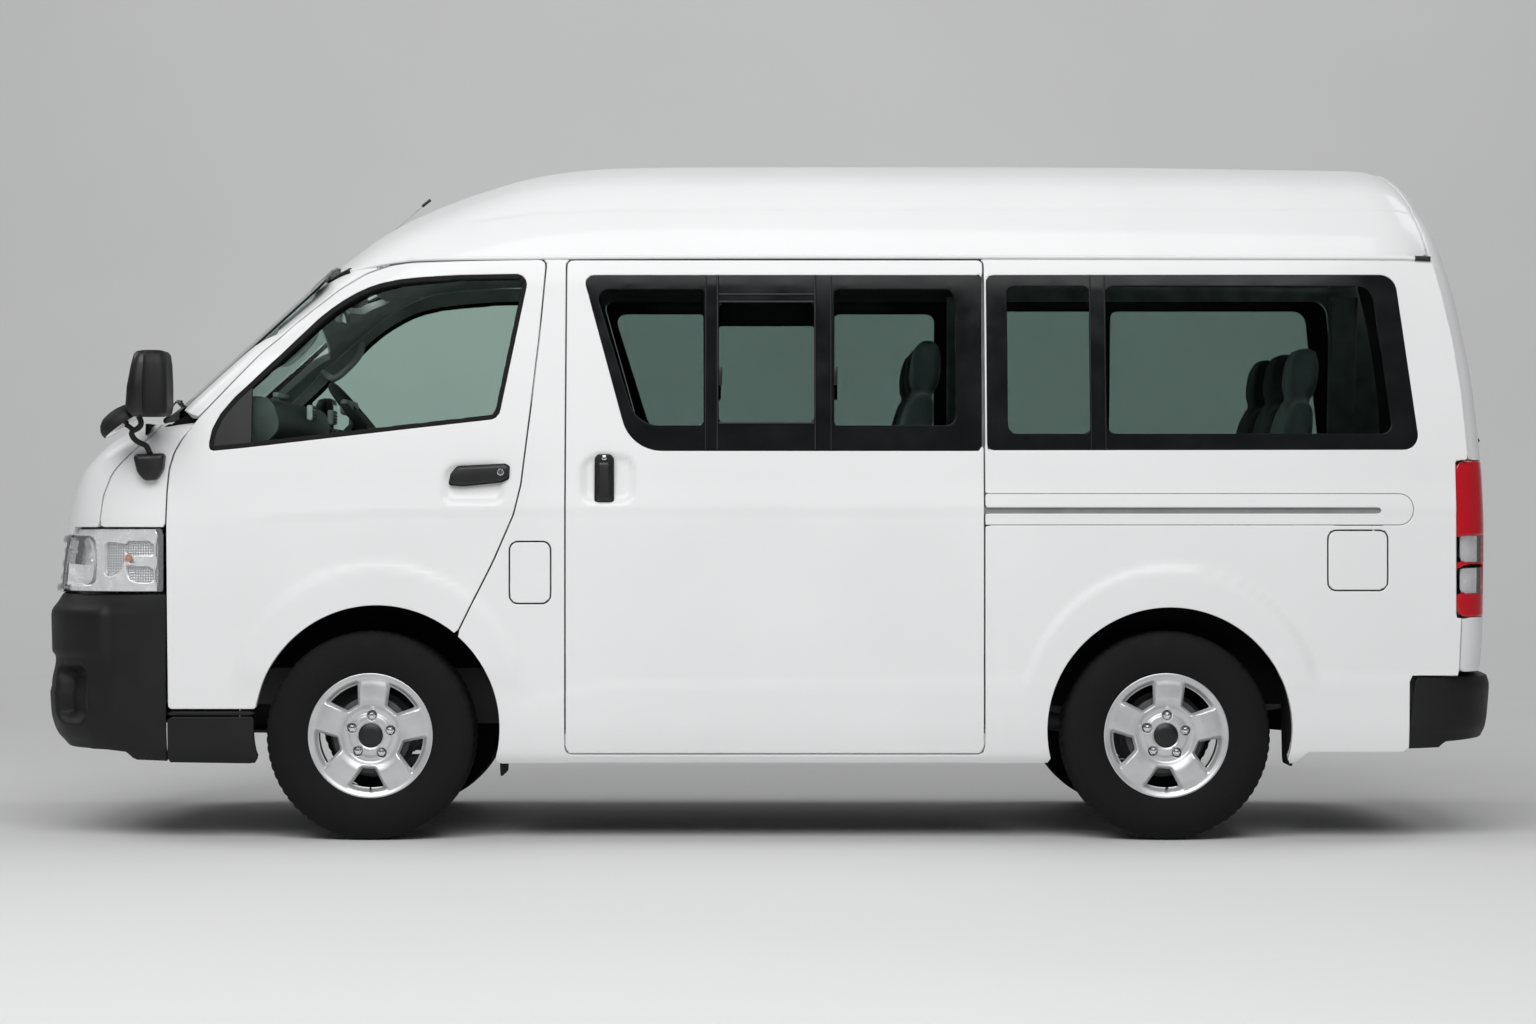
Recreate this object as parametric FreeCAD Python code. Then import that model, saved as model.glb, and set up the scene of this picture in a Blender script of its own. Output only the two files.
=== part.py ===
"""A high-roof minibus with two front doors, sliding side doors and a tailgate, all sizes in millimetres.

+X runs to the rear, +Y to the vehicle's right and +Z up. The origin is on the ground, below the middle of
the overall length. Places along the body are measured from the axle that they belong to, places across it
from the side of the body, and heights from the ground.
"""
import FreeCAD, Part

import math
import os

from FreeCAD import Vector

# ---------------------------------------------------------------- overall sizes
FRONT_OVERHANG = 1131.0
WHEELBASE = 2570.0
REAR_OVERHANG = 1129.0
WIDTH = 1695.0
HEIGHT = 2245.0
TRACK = 1470.0
MIRROR_REACH = 187.5  # how far the mirrors stand out from the widest body

LENGTH = FRONT_OVERHANG + WHEELBASE + REAR_OVERHANG
NOSE = -LENGTH / 2
TAIL = LENGTH / 2
F = NOSE + FRONT_OVERHANG  # front axle
R = F + WHEELBASE  # rear axle
HALF = WIDTH / 2
MIRROR_EDGE = HALF + MIRROR_REACH

# ---------------------------------------------------------------- walls, gaps and levels
WALL = 50.0  # side wall, skin to trim
DOOR = 44.0  # door, skin to trim
SKIN = 6.0  # outer layer of a door, which reaches to the gap
STEP = 20.0  # the door's inner layer stands this much inside its skin
GAP = 9.0  # round a moving panel
SLIT = 4.0  # round a fixed panel
SEAM = 0.3  # between fixed pieces that follow the same curve
GLASS = 6.0
PANE_DEPTH = 18.0  # of a front door's glass below the skin
ROOF_WALL = 35.0
SILL_Z = 246.0
FLOOR_Z = 590.0
FLOOR_WALL = 50.0
GUTTER_Z = 1886.0
BELT_Z = 1258.0
CREASE_Z = 1050.0
RAIL_DEPTH = 60.0  # inner sill and inner roof rail
OPENING_DEPTH = WALL + 110.0  # through the wall where the side leans in most

# ---------------------------------------------------------------- wheels
TYRE_R = 338.0
TYRE_W = 195.0
RIM_R = 204.0
RIM_W = 165.0
HUB_R = 60.0
SPINDLE_R = 25.0
SPINDLE_CLEARANCE = 0.1
KINGPIN_INSET = 60.0
STEER_GAP = 0.5
ARCH_R = 395.0
ARCH_Z = 364.0
ARCH_AFT = 22.0  # the front arch's centre lies this far behind its axle
REAR_ARCH_AFT = 9.0
LINER_GAP = 23.0
LINER_WALL = 12.0
PLATFORM_WALL = 24.0
PLATFORM_Z = ARCH_Z + ARCH_R + LINER_GAP + LINER_WALL + PLATFORM_WALL  # over the engine and front wheels
FRONT_LINER_Y = 425.0
REAR_LINER_Y = 600.0

# ---------------------------------------------------------------- hinges of doors, lids and panels
PIN_R = 4.5
PIN_CLEARANCE = 0.05
EYE_R = 9.0
HINGE_SET = 20.0  # the pin's axis lies this far from the panel's edge
HINGE_DEPTH = SKIN + 1 + EYE_R
EAR = 10.0
HINGE_HALF = 12.0  # half the length of the eye
HINGE_ARM = 58.0  # how far the arm reaches inwards before it turns to its mounting
ARM_WALL = 12.0
DOOR_HINGE_X = F - 651 + HINGE_SET
DOOR_HINGE_Y = HALF - HINGE_DEPTH
DOOR_HINGES_Z = (620.0, 960.0)
LID_HINGE_SET = 24.0
LID_HINGE_SIZE = 0.6
LID_HINGE_DEPTH = SKIN + (HINGE_DEPTH - SKIN) * LID_HINGE_SIZE
LID_GAP = 7.0
TAIL_HINGE = (R + 794, 2197.0)
TAIL_HINGES_Y = (-165.0, 165.0)
BONNET_REAR = F - 735
BONNET_HINGE = (BONNET_REAR - HINGE_SET, 1329.0)
BONNET_HINGES_Y = (-560.0, 560.0)

CRUMB = 2000.0  # smallest volume that counts as a solid, mm3
BIG = 4000.0


# ---------------------------------------------------------------- drawing helpers
def side_view(y):
    return lambda a, b: Vector(a, y, b)


def rear_view(x):
    return lambda a, b: Vector(x, a, b)


def plan_view(z):
    return lambda a, b: Vector(a, b, z)


def outline(corners, place):
    """A closed wire through corners (a, b) or (a, b, radius), put in space by place(a, b)."""
    count = len(corners)
    stops = []
    for i, corner in enumerate(corners):
        here = Vector(corner[0], corner[1], 0)
        radius = corner[2] if len(corner) > 2 else 0
        if not radius:
            stops.append((here, None, here))
            continue
        before, after = corners[i - 1], corners[(i + 1) % count]
        back = (Vector(before[0], before[1], 0) - here).normalize()
        ahead = (Vector(after[0], after[1], 0) - here).normalize()
        half = back.getAngle(ahead) / 2
        reach = radius / math.tan(half)
        middle = (back + ahead).normalize()
        waist = here + middle * (radius / math.sin(half) - radius)
        stops.append((here + back * reach, waist, here + ahead * reach))
    edges = []
    for i, (start, waist, end) in enumerate(stops):
        if waist:
            bend = Part.Arc(place(start.x, start.y), place(waist.x, waist.y), place(end.x, end.y))
            edges.append(bend.toShape())
        coming = stops[(i + 1) % count][0]
        if (coming - end).Length > 1e-6:
            edges.append(Part.makeLine(place(end.x, end.y), place(coming.x, coming.y)))
    return Part.Wire(edges)


def across(corners, y0, y1, grow=0.0):
    """A solid with this side view, from y0 to y1."""
    return stretched(Part.Face(outline(corners, side_view(y0))), Vector(0, y1 - y0, 0), grow)


def along(corners, x0, x1, grow=0.0):
    """A solid with this rear view, from x0 to x1."""
    return stretched(Part.Face(outline(corners, rear_view(x0))), Vector(x1 - x0, 0, 0), grow)


def upright(corners, z0, z1, grow=0.0):
    """A solid with this plan view, from z0 to z1."""
    return stretched(Part.Face(outline(corners, plan_view(z0))), Vector(0, 0, z1 - z0), grow)


def stretched(face, way, grow):
    if grow:
        face = face.makeOffset2D(grow, 2)
    return face.extrude(way)


def box(x0, x1, y0, y1, z0, z1):
    return Part.makeBox(x1 - x0, y1 - y0, z1 - z0, Vector(x0, y0, z0))


def rod(start, end, radius):
    way = Vector(*end) - Vector(*start)
    return Part.makeCylinder(radius, way.Length, Vector(*start), way)


def joined(*shapes):
    whole = shapes[0]
    for shape in shapes[1:]:
        whole = whole.fuse(shape)
    return whole.removeSplitter()


def touching(*shapes):
    """The shapes as separate solids that meet face to face: each is cut back to those before it."""
    kept = []
    for shape in shapes:
        new = [piece for piece in shape.Solids]
        for earlier in kept:
            new = [part for piece in new for part in piece.cut(earlier).Solids]
        kept += [solid for solid in new if solid.Volume > CRUMB]
    return Part.makeCompound(kept)


def mirrored(shape):
    return shape.mirror(Vector(0, 0, 0), Vector(0, 1, 0))


def pair(shape):
    """The same piece on the left and the right, as separate solids."""
    return Part.makeCompound([*shape.Solids, *mirrored(shape).Solids])


# ---------------------------------------------------------------- the body's outer form
# Inset from the widest side, height: the side wall from the sill up to the gutter.
SIDE_SECTION = [(30, SILL_Z), (8, 300), (0, 520), (0, CREASE_Z), (8, 1090), (24, BELT_Z), (106, GUTTER_Z)]
# Distance from the middle, height above the gutter as a share of the roof's rise there.
ROOF_SIDE_SHARE = 0.5
ROOF_SHOULDER_SHARE = 0.8
ROOF_LEAN = 0.33
ROOF_SHOULDER_IN = 180.0
ROOF_FOOT_Z = 1790.0

WINDSCREEN_SLOPE = 0.911  # rise over run
WINDSCREEN_BOW = 110.0
WINDSCREEN_X = F - 733  # middle of the glass at WINDSCREEN_Z
WINDSCREEN_Z = 1392.0
WINDSCREEN_HALF = HALF - 147

# x from its axle, drop of the roof's crown below the overall height
ROOF_CROWN = [
    (F - 330, 400), (F - 168, 355), (F + 26, 206), (F + 188, 133), (F + 336, 82),
    (F + 467, 42), (F + 615, 18), (F + 774, 5), (F + 1284, 0), (R - 141, 1), (R + 376, 10), (R + 700, 15),
    (R + 850, 30), (R + 1000, 60),
]


def side_wall(outer, inner):
    """The left wall between two depths below the skin, along the whole body."""
    depths = [(-(HALF - inset - outer), z) for inset, z in SIDE_SECTION]
    depths += [(-(HALF - inset - inner), z) for inset, z in reversed(SIDE_SECTION)]
    return along(depths, NOSE - 50, TAIL + 50)


def roof_section(x, drop, inside):
    """One rear-view section of the roof, inside by a wall where wanted."""
    foot = HALF - 110 - inside
    top = HEIGHT - drop - inside
    rise = max(top - GUTTER_Z, 30)
    waist = foot - ROOF_LEAN * rise * ROOF_SIDE_SHARE
    waist_z = GUTTER_Z + rise * ROOF_SIDE_SHARE
    shoulder = waist - ROOF_SHOULDER_IN
    shoulder_z = GUTTER_Z + rise * ROOF_SHOULDER_SHARE
    place = rear_view(x)
    bend_y = (waist + shoulder) / 2 + 0.16 * (waist - shoulder)
    bend_z = (waist_z + shoulder_z) / 2 + 0.22 * (shoulder_z - waist_z)
    crown_top = place(0, max(top, GUTTER_Z + 30))
    crown = Part.Arc(place(-shoulder, shoulder_z), crown_top, place(shoulder, shoulder_z))
    return Part.Wire([
        Part.makeLine(place(-foot, ROOF_FOOT_Z), place(-foot, GUTTER_Z)),
        Part.makeLine(place(-foot, GUTTER_Z), place(-waist, waist_z)),
        Part.Arc(place(-waist, waist_z), place(-bend_y, bend_z), place(-shoulder, shoulder_z)).toShape(),
        crown.toShape(),
        Part.Arc(place(shoulder, shoulder_z), place(bend_y, bend_z), place(waist, waist_z)).toShape(),
        Part.makeLine(place(waist, waist_z), place(foot, GUTTER_Z)),
        Part.makeLine(place(foot, GUTTER_Z), place(foot, ROOF_FOOT_Z)),
        Part.makeLine(place(foot, ROOF_FOOT_Z), place(-foot, ROOF_FOOT_Z)),
    ])


def roof_form(inside=0.0):
    return Part.makeLoft([roof_section(x, drop, inside) for x, drop in ROOF_CROWN], True, True)


def behind_windscreen(depth):
    """Everything behind the curved, sloping windscreen, this far below its face."""
    low = WINDSCREEN_Z - 300
    x = WINDSCREEN_X + (low - WINDSCREEN_Z) / WINDSCREEN_SLOPE + depth / math.sin(math.atan(WINDSCREEN_SLOPE))
    edge = WINDSCREEN_HALF
    bulge = WINDSCREEN_BOW
    left, middle, right = Vector(x + bulge, -edge, low), Vector(x, 0, low), Vector(x + bulge, edge, low)
    arc = Part.Arc(left, middle, right)
    wide = HALF + 100
    lead = (bulge * 2 / edge) * (wide - edge)
    corners = [
        right, Vector(x + bulge + lead, wide, low), Vector(x + BIG, wide, low), Vector(x + BIG, -wide, low),
        Vector(x + bulge + lead, -wide, low), left,
    ]
    straights = [Part.makeLine(start, end) for start, end in zip(corners, corners[1:])]
    wire = Part.Wire([arc.toShape(), *straights])
    rise = 1400
    return Part.Face(wire).extrude(Vector(rise / WINDSCREEN_SLOPE, 0, rise))


# Side-view lines that panels share.
ROOF_EDGE = [
    (F - 156, 1817), (F - 111, 1840), (F - 36, 1868), (F + 54, 1882), (F + 134, GUTTER_Z),
    (R + 848 - GAP, GUTTER_Z),
]
TAIL_LINE = [  # the tailgate's front edge, from the roof down to the bumper
    (R + 760, HEIGHT + 20), (R + 795, 2180, 60), (R + 849, 1879), (R + 898, 1717), (R + 943, 1488),
    (R + 962, 1228), (R + 950, 760), (R + 948, 539),
]
FRONT_DOOR = [
    (F - 651, 424, 8), (F - 653, 1200, 120), (F - 609, 1300, 100), (F - 362, 1578), (F - 110, 1797, 60),
    (F - 20, 1862, 160), (F + 110, 1877, 300), (F + 566, 1880, 12), (F + 545, 1640, 900),
    (F + 515, 1330, 900), (F + 464, 1052, 300), (F + 396, 898), (F + 281, 664), (F + 281, 424),
]
DOOR_WINDOW = [
    (F - 521, 1262, 20), (F - 530, 1312, 30), (F - 395, 1467, 100), (F - 110, 1731, 60), (F + 20, 1808, 130),
    (F + 130, 1826, 100), (F + 500, 1832, 28), (F + 476, 1606), (F + 402, 1356, 22),
]
SLIDE_DOOR_FRONT = F + 627
SLIDE_DOOR_REAR = R - 589
SLIDE_DOOR = [
    (SLIDE_DOOR_FRONT, 279, 25), (SLIDE_DOOR_REAR, 279, 25),
    (SLIDE_DOOR_REAR, 1878, 18), (SLIDE_DOOR_FRONT, 1878, 18),
]
SLIDE_GLASS = [
    (F + 692, 1828, 22), (F + 832, 1350, 160), (F + 940, BELT_Z, 160), (SLIDE_DOOR_REAR - 4, BELT_Z, 2),
    (SLIDE_DOOR_REAR - 4, 1828, 2),
]
SLIDE_HOLE = [
    (F + 745, 1775, 22), (F + 878, 1370, 130), (F + 970, 1330, 60), (SLIDE_DOOR_REAR - 122, 1330, 25),
    (SLIDE_DOOR_REAR - 122, 1775, 25),
]
QUARTER_GLASS = [
    (SLIDE_DOOR_REAR + 8, 1828, 2), (R + 748, 1828, 50), (R + 816, 1290, 0.1), (R + 812, BELT_Z, 35),
    (SLIDE_DOOR_REAR + 8, BELT_Z, 2),
]
QUARTER_HOLE = [
    (SLIDE_DOOR_REAR + 70, 1775, 25), (R + 700, 1775, 60), (R + 750, 1318, 50),
    (SLIDE_DOOR_REAR + 70, 1318, 25),
]
FUEL_LID = [(F + 451, 766, 26), (F + 584, 766, 26), (F + 584, 965, 26), (F + 451, 965, 26)]
SERVICE_LID = [(R + 517, 807, 26), (R + 710, 807, 26), (R + 710, 1001, 26), (R + 517, 1001, 26)]
RAIL_SLOT_Z = (1054, 1075)
RAIL_SLOT_X = (SLIDE_DOOR_REAR + 6, R + 691)
RAIL_SLOT_DEPTH = 30.0

# Plan view of the nose, from the door line round the left corner to the middle.
NOSE_CORNERS = [(F - 658, 4.5, 0), (F - 916, 72, 350), (F - 1041, 370, 260)]  # x, inset from side, radius
NOSE_MIDDLE = F - 1076
BUMPER_CORNERS = [(F - 658, 2, 0), (F - 960, 50, 300), (F - 1110, 380, 220)]
BUMPER_MIDDLE = NOSE
# Side view of the nose, from the grille up over the bonnet to the windscreen's foot.
NOSE_FACE = [
    (F - 1100, 700), (F - 1076, 880, 400), (F - 1048, 1080, 400), (F - 975, 1235, 120), (F - 850, 1322, 200),
    (F - 700, 1352), (F - 640, 1400),
]
BONNET_LINE = [
    (F - 867, 1010), (F - 858, 1160, 120), (F - 800, 1238, 200), (F - 716, 1318),
]
LAMP_TOP = 1008.0
LAMP_BOTTOM = 798.0
LAMP_INNER = 470.0  # distance of a headlamp's inner end from the middle
NOSE_WALL = 45.0


def nose_plan(corners, middle):
    left = [(x, -(HALF - inset), radius) for x, inset, radius in corners]
    right = [(x, -y, radius) for x, y, radius in reversed(left)]
    return [*left, (middle, 0, 1800), *right]


def nose_form(depth):
    """The nose ahead of the doors, this far below its skin."""
    plan = upright(nose_plan(NOSE_CORNERS, NOSE_MIDDLE), SILL_Z, GUTTER_Z, -depth) if depth else upright(
        nose_plan(NOSE_CORNERS, NOSE_MIDDLE), SILL_Z, GUTTER_Z)
    plan = plan.common(box(NOSE, F - 660, -HALF, HALF, SILL_Z, GUTTER_Z)) if not depth else plan.fuse(
        box(F - 660 - depth - 20, F - 600, -(HALF - 4.5 - depth), HALF - 4.5 - depth, SILL_Z, GUTTER_Z))
    profile = [*NOSE_FACE, (F - 600, 1400), (F - 600, SILL_Z - 100), (F - 1100, SILL_Z - 100)]
    face = across(profile, -HALF, HALF, -depth)
    section = [(-(HALF - inset - depth), z) for inset, z in SIDE_SECTION]
    section += [(-y, z) for y, z in reversed(section)]
    return plan.common(face).common(along(section, NOSE, F - 500))


def ahead_of_windscreen(depth):
    """Everything above the windscreen's foot that lies ahead of it, to this far below its face."""
    return box(NOSE - 100, F + 900, -HALF - 60, HALF + 60, WINDSCREEN_Z - 290, HEIGHT + 200).cut(
        behind_windscreen(depth))


def hinge(origin, fixed_way, inward, axis, mounting, size=1.0):
    """A pin in an eye. The eye's arm goes inwards, then in the fixed way by mounting to what carries it.

    Returns the pocket to cut in the panel, the pin with its two ears for the panel, and the carried eye.
    """
    fixed_way, inward, axis, origin = Vector(*fixed_way), Vector(*inward), Vector(*axis), Vector(*origin)

    def block(f0, f1, n0, n1, a0, a1):
        corner = origin + fixed_way * f0 + inward * n0 + axis * a0
        far = origin + fixed_way * f1 + inward * n1 + axis * a1
        low = [min(corner[i], far[i]) for i in range(3)]
        high = [max(corner[i], far[i]) for i in range(3)]
        return Part.makeBox(*[high[i] - low[i] for i in range(3)], Vector(*low))

    def round_bar(radius, half):
        return Part.makeCylinder(radius, 2 * half, origin - axis * half, axis)

    half = HINGE_HALF * size
    reach = HINGE_ARM * size
    eye_r = EYE_R * size
    ear = EAR * size
    skin_face = -(HINGE_DEPTH - SKIN) * (size if size < 1 else 1.0)
    pocket = block(-eye_r - 6 * size, 60, skin_face, reach + 30, -half - 6, half + 6)
    pin = round_bar(PIN_R * size, half + 6 + ear)
    ears = [block(-eye_r, eye_r * 0.7, skin_face, eye_r, *span)
            for span in ((-half - 6 - ear, -half - 6), (half + 6, half + 6 + ear))]
    arm = block(-eye_r * 0.6, eye_r * 0.6, 0, reach, -half, half)
    leg = block(-eye_r * 0.6, mounting, reach - ARM_WALL * size, reach, -half, half)
    eye = joined(round_bar(eye_r, half), arm, leg).cut(round_bar(PIN_R * size + PIN_CLEARANCE, half + 5))
    return pocket, joined(pin, *ears), eye


def between(shape, x0=-BIG, x1=BIG, y0=-BIG, y1=BIG, z0=-BIG, z1=BIG):
    return shape.common(box(x0, x1, y0, y1, z0, z1))


def arch(axle, aft, radius, y0, y1):
    """The space of a wheel arch: a round top with straight sides below it."""
    x = axle + aft
    top = rod((x, y0, ARCH_Z), (x, y1, ARCH_Z), radius)
    return joined(top, box(x - radius, x + radius, y0, y1, -10, ARCH_Z))


# ---------------------------------------------------------------- sides and doors (left side at negative Y)
def door_leaf(corners, wall_skin, wall_inner):
    """A door of a skin that reaches to the gap and an inner layer a step inside it."""
    skin = wall_skin.common(across(corners, -HALF - 50, 0))
    inner = wall_inner.common(across(corners, -HALF - 50, 0, -STEP))
    return joined(skin, inner)


def side_parts():
    skin = side_wall(0, SKIN)
    trim = side_wall(SKIN, DOOR)
    pane = side_wall(0, GLASS)
    deep_pane = side_wall(PANE_DEPTH, PANE_DEPTH + GLASS)
    wall = side_wall(0, WALL)
    inner = side_wall(WALL, WALL + RAIL_DEPTH)
    front_arch = arch(F, ARCH_AFT, ARCH_R, -HALF - 50, 0)
    rear_arch = arch(R, REAR_ARCH_AFT, ARCH_R + 5, -HALF - 50, 0)

    door = door_leaf(FRONT_DOOR, skin, trim).cut(arch(F, ARCH_AFT, ARCH_R + 2, -HALF - 50, 0))
    door = door.cut(across(DOOR_WINDOW, -HALF - 50, 0))
    edge_x = F - 651
    wedge = [(edge_x - 60, -HALF - 10), (edge_x - 60, -HALF + 65), (edge_x + SKIN + 10, -HALF - 10)]
    bevel = upright(wedge, 0, 1240)
    door = door.cut(bevel)
    posts = []
    for z in DOOR_HINGES_Z:
        origin = (DOOR_HINGE_X, -DOOR_HINGE_Y, z)
        pocket, pin, eye = hinge(origin, (-1, 0, 0), (0, 1, 0), (0, 0, 1), DOOR_HINGE_X - (F - 670))
        door = door.cut(pocket).fuse(pin)
        posts.append(eye)
    door = door.removeSplitter()
    door_glass = deep_pane.common(across(DOOR_WINDOW, -HALF - 50, 0))

    slider = door_leaf(SLIDE_DOOR, skin, side_wall(SKIN, WALL))
    slide_glass = pane.common(across(SLIDE_GLASS, -HALF - 50, 0))
    slider = slider.cut(slide_glass).cut(across(SLIDE_HOLE, -HALF - 50, 0))
    handle_cup = rod((SLIDE_DOOR_FRONT + 118, -HALF, 1168), (SLIDE_DOOR_FRONT + 118, -HALF + 38, 1168), 60)
    slider = slider.cut(handle_cup)

    whole = [(F + ARCH_AFT, SILL_Z), (R + ARCH_R, SILL_Z), (R + 420, 276), (R + 786, 288), (R + 806, 545)]
    whole += [(x - GAP, z) for x, z, *_ in reversed(TAIL_LINE[2:])]
    whole += [(x, z) for x, z in reversed(ROOF_EDGE)]
    whole += [(F - 623, WINDSCREEN_Z), (F - 560, 1366), (F - 560, 900)]
    shell = wall.common(across(whole, -HALF - 50, 0))
    rail = inner.common(across([
        (F - 111, 1838), (F - 36, 1866), (F + 134, GUTTER_Z), (R + 840, GUTTER_Z), (R + 855, 1832),
        (F - 100, 1832)], -HALF, 0))
    x0, x1 = F + ARCH_AFT + ARCH_R + 40, R + REAR_ARCH_AFT - ARCH_R - 45
    sill = inner.common(box(x0, x1, -HALF, 0, SILL_Z, 540))
    shell = joined(shell, rail, sill)
    shell = shell.cut(ahead_of_windscreen(GLASS + SEAM))
    quarter_glass = pane.common(across(QUARTER_GLASS, -HALF - 50, 0))
    for tool in (
        across(FRONT_DOOR, -HALF - 50, -HALF + OPENING_DEPTH, GAP),
        across(SLIDE_DOOR, -HALF - 50, -HALF + OPENING_DEPTH, SLIT).common(side_wall(-20, WALL)),
        front_arch, rear_arch, quarter_glass, across(QUARTER_HOLE, -HALF - 50, 0),
        box(RAIL_SLOT_X[0] - 20, RAIL_SLOT_X[1], -HALF - 10, -HALF + RAIL_SLOT_DEPTH, *RAIL_SLOT_Z),
    ):
        shell = shell.cut(tool)
    return {
        "door": door, "door_glass": door_glass, "slider": slider, "slide_glass": slide_glass,
        "shell": shell, "quarter_glass": quarter_glass, "door_eyes": joined(*posts),
    }


def with_lids(shell):
    """Two hinged flaps in the left side: returns the side with their recesses and eyes, and the flaps."""
    flaps = []
    for corners in (FUEL_LID, SERVICE_LID):
        flap = side_wall(0, SKIN).common(across(corners, -HALF - 50, 0))
        shell = shell.cut(side_wall(-5, WALL - 8).common(across(corners, -HALF - 50, 0, LID_GAP)))
        x = min(corner[0] for corner in corners) + LID_HINGE_SET
        z = (corners[0][1] + corners[2][1]) / 2
        origin = (x, -HALF + LID_HINGE_DEPTH, z)
        _, pin, eye = hinge(origin, (-1, 0, 0), (0, 1, 0), (0, 0, 1), 3, LID_HINGE_SIZE)
        flaps.append(joined(flap, pin))
        shell = joined(shell, eye)
    return shell, *flaps


# ---------------------------------------------------------------- nose
def nose_parts():
    shell = nose_form(0).cut(nose_form(NOSE_WALL))
    shell = shell.cut(between(behind_windscreen(-4), z0=1280))
    upper = between(shell, x1=F - 658, z0=LAMP_TOP + 3)
    bonnet_side = across([*BONNET_LINE, (F - 700, 1600), (NOSE - 50, 1600), (NOSE - 50, 900), (F - 867, 900)],
                         -HALF, HALF)
    bonnet = between(upper.common(bonnet_side), x1=BONNET_REAR).cut(between(behind_windscreen(-8), z0=1280))
    edge = across([(BONNET_REAR + 10, 1330), (BONNET_REAR + 10, 1400), (BONNET_REAR - 60, 1400)], -HALF, HALF)
    bonnet = bonnet.cut(edge)
    strip = between(upper.common(bonnet_side), x0=BONNET_REAR + GAP)
    for y in BONNET_HINGES_Y:
        origin = (BONNET_HINGE[0], y, BONNET_HINGE[1])
        pocket, pin, eye = hinge(origin, (1, 0, 0), (0, 0, -1), (0, 1, 0), 60)
        bonnet = bonnet.cut(pocket).fuse(pin)
        strip = strip.fuse(eye)
    bonnet = bonnet.removeSplitter()
    fender_side = across([
        *[(x + GAP, z - 2, *rest) for x, z, *rest in BONNET_LINE[:2]],
        *[(x + GAP, z - GAP, *rest) for x, z, *rest in BONNET_LINE[2:]],
        (F - 700, 1332), (F - 610, 1420), (F - 610, 1010)], -HALF, HALF)
    fenders = between(upper.common(fender_side), x1=F - 658)
    band = between(shell, z0=LAMP_BOTTOM, z1=LAMP_TOP - GAP + 2)
    lamp = between(band, y1=-LAMP_INNER, x0=NOSE, x1=F - 660)
    grille = between(band, y0=-LAMP_INNER + 3, y1=LAMP_INNER - 3, x1=F - 900)
    return {"bonnet": bonnet, "fenders": fenders, "headlamps": pair(lamp), "grille": grille, "strip": strip}


def cab_front(strip, eyes):
    """Firewall, door pillars, a rail behind the lamps and the cowl that carries the windscreen's foot."""
    wall_x = F - 830
    inside = nose_form(NOSE_WALL)
    depth_y = HALF - NOSE_WALL
    plate = box(wall_x, wall_x + 20, -depth_y, depth_y, 470, 1265).common(nose_form(NOSE_WALL + 12))
    posts = pair(box(F - 735, F - 668, -depth_y, -depth_y + 60, 430, 1265).common(
        inside.fuse(box(F - 760, F - 600, -depth_y, depth_y, 300, 1040))))
    webs = pair(box(wall_x, F - 668, -depth_y, -depth_y + 15, 600, 1180).common(inside))
    rail = between(inside.cut(nose_form(NOSE_WALL + 15)), z0=880, z1=940, x1=F - 668)
    shelf = across([
        (wall_x, 1245), (wall_x, 1265), (F - 790, 1275), (F - 716, 1275), (F - 716, 1318), (F - 640, 1352),
        (F - 560, 1396), (F - 560, 1340), (F - 620, 1300), (F - 690, 1245)], -HALF + 80, HALF - 80)
    shelf = shelf.common(nose_form(NOSE_WALL + 16).fuse(box(F - 716, F - 500, -HALF, HALF, 1200, 1500)))
    seat_of_glass = between(behind_windscreen(-60).cut(behind_windscreen(GLASS + SEAM)), z0=1345)
    strip, shelf = strip.cut(seat_of_glass), shelf.cut(seat_of_glass)
    return touching(joined(*posts.Solids, eyes), plate, webs, rail, strip, shelf)


def windscreen():
    sheet = behind_windscreen(0).cut(behind_windscreen(GLASS))
    inside = [(-(HALF - inset - 14), z) for inset, z in SIDE_SECTION]
    inside += [(-y, z) for y, z in reversed(inside)]
    sheet = sheet.common(along(inside, NOSE, R))
    return sheet.common(across([
        (F - 1000, 1330), (F - 700, 1365), (F - 560, 1412), (F, 1812), (F - 1000, 1812)], -HALF, HALF))


# ---------------------------------------------------------------- roof
def roof():
    solid = roof_form().cut(roof_form(ROOF_WALL))
    region = ROOF_EDGE[:-1]
    region += [(R + 849 - GAP, GUTTER_Z), (R + 795 - GAP, 2180, 60), (R + 760 - GAP, HEIGHT + 20)]
    region += [(F - 330, HEIGHT + 20), (F - 330, 1817)]
    solid = solid.common(across(region, -HALF, HALF))
    front = behind_windscreen(0).cut(behind_windscreen(ROOF_WALL))
    header = roof_form().common(front).common(across([
        (F - 330, 1817), (F - 150, 1817), (F + 60, 1960), (F + 60, HEIGHT), (F - 330, HEIGHT)], -HALF, HALF))
    x, z = TAIL_HINGE
    swing = rod((x, -HALF, z), (x, HALF, z), HINGE_SET + 10)
    whole = joined(solid.cut(ahead_of_windscreen(0)), header).cut(swing)
    for y in TAIL_HINGES_Y:
        hanger = box(x - 60, x - 48, y - HINGE_HALF, y + HINGE_HALF, z - HINGE_ARM, HEIGHT - 50)
        whole = whole.fuse(tail_hinge(y)[2]).fuse(hanger)
    return whole.removeSplitter()


def tail_hinge(y):
    return hinge((TAIL_HINGE[0], y, TAIL_HINGE[1]), (-1, 0, 0), (0, 0, -1), (0, 1, 0), 60)


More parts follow.
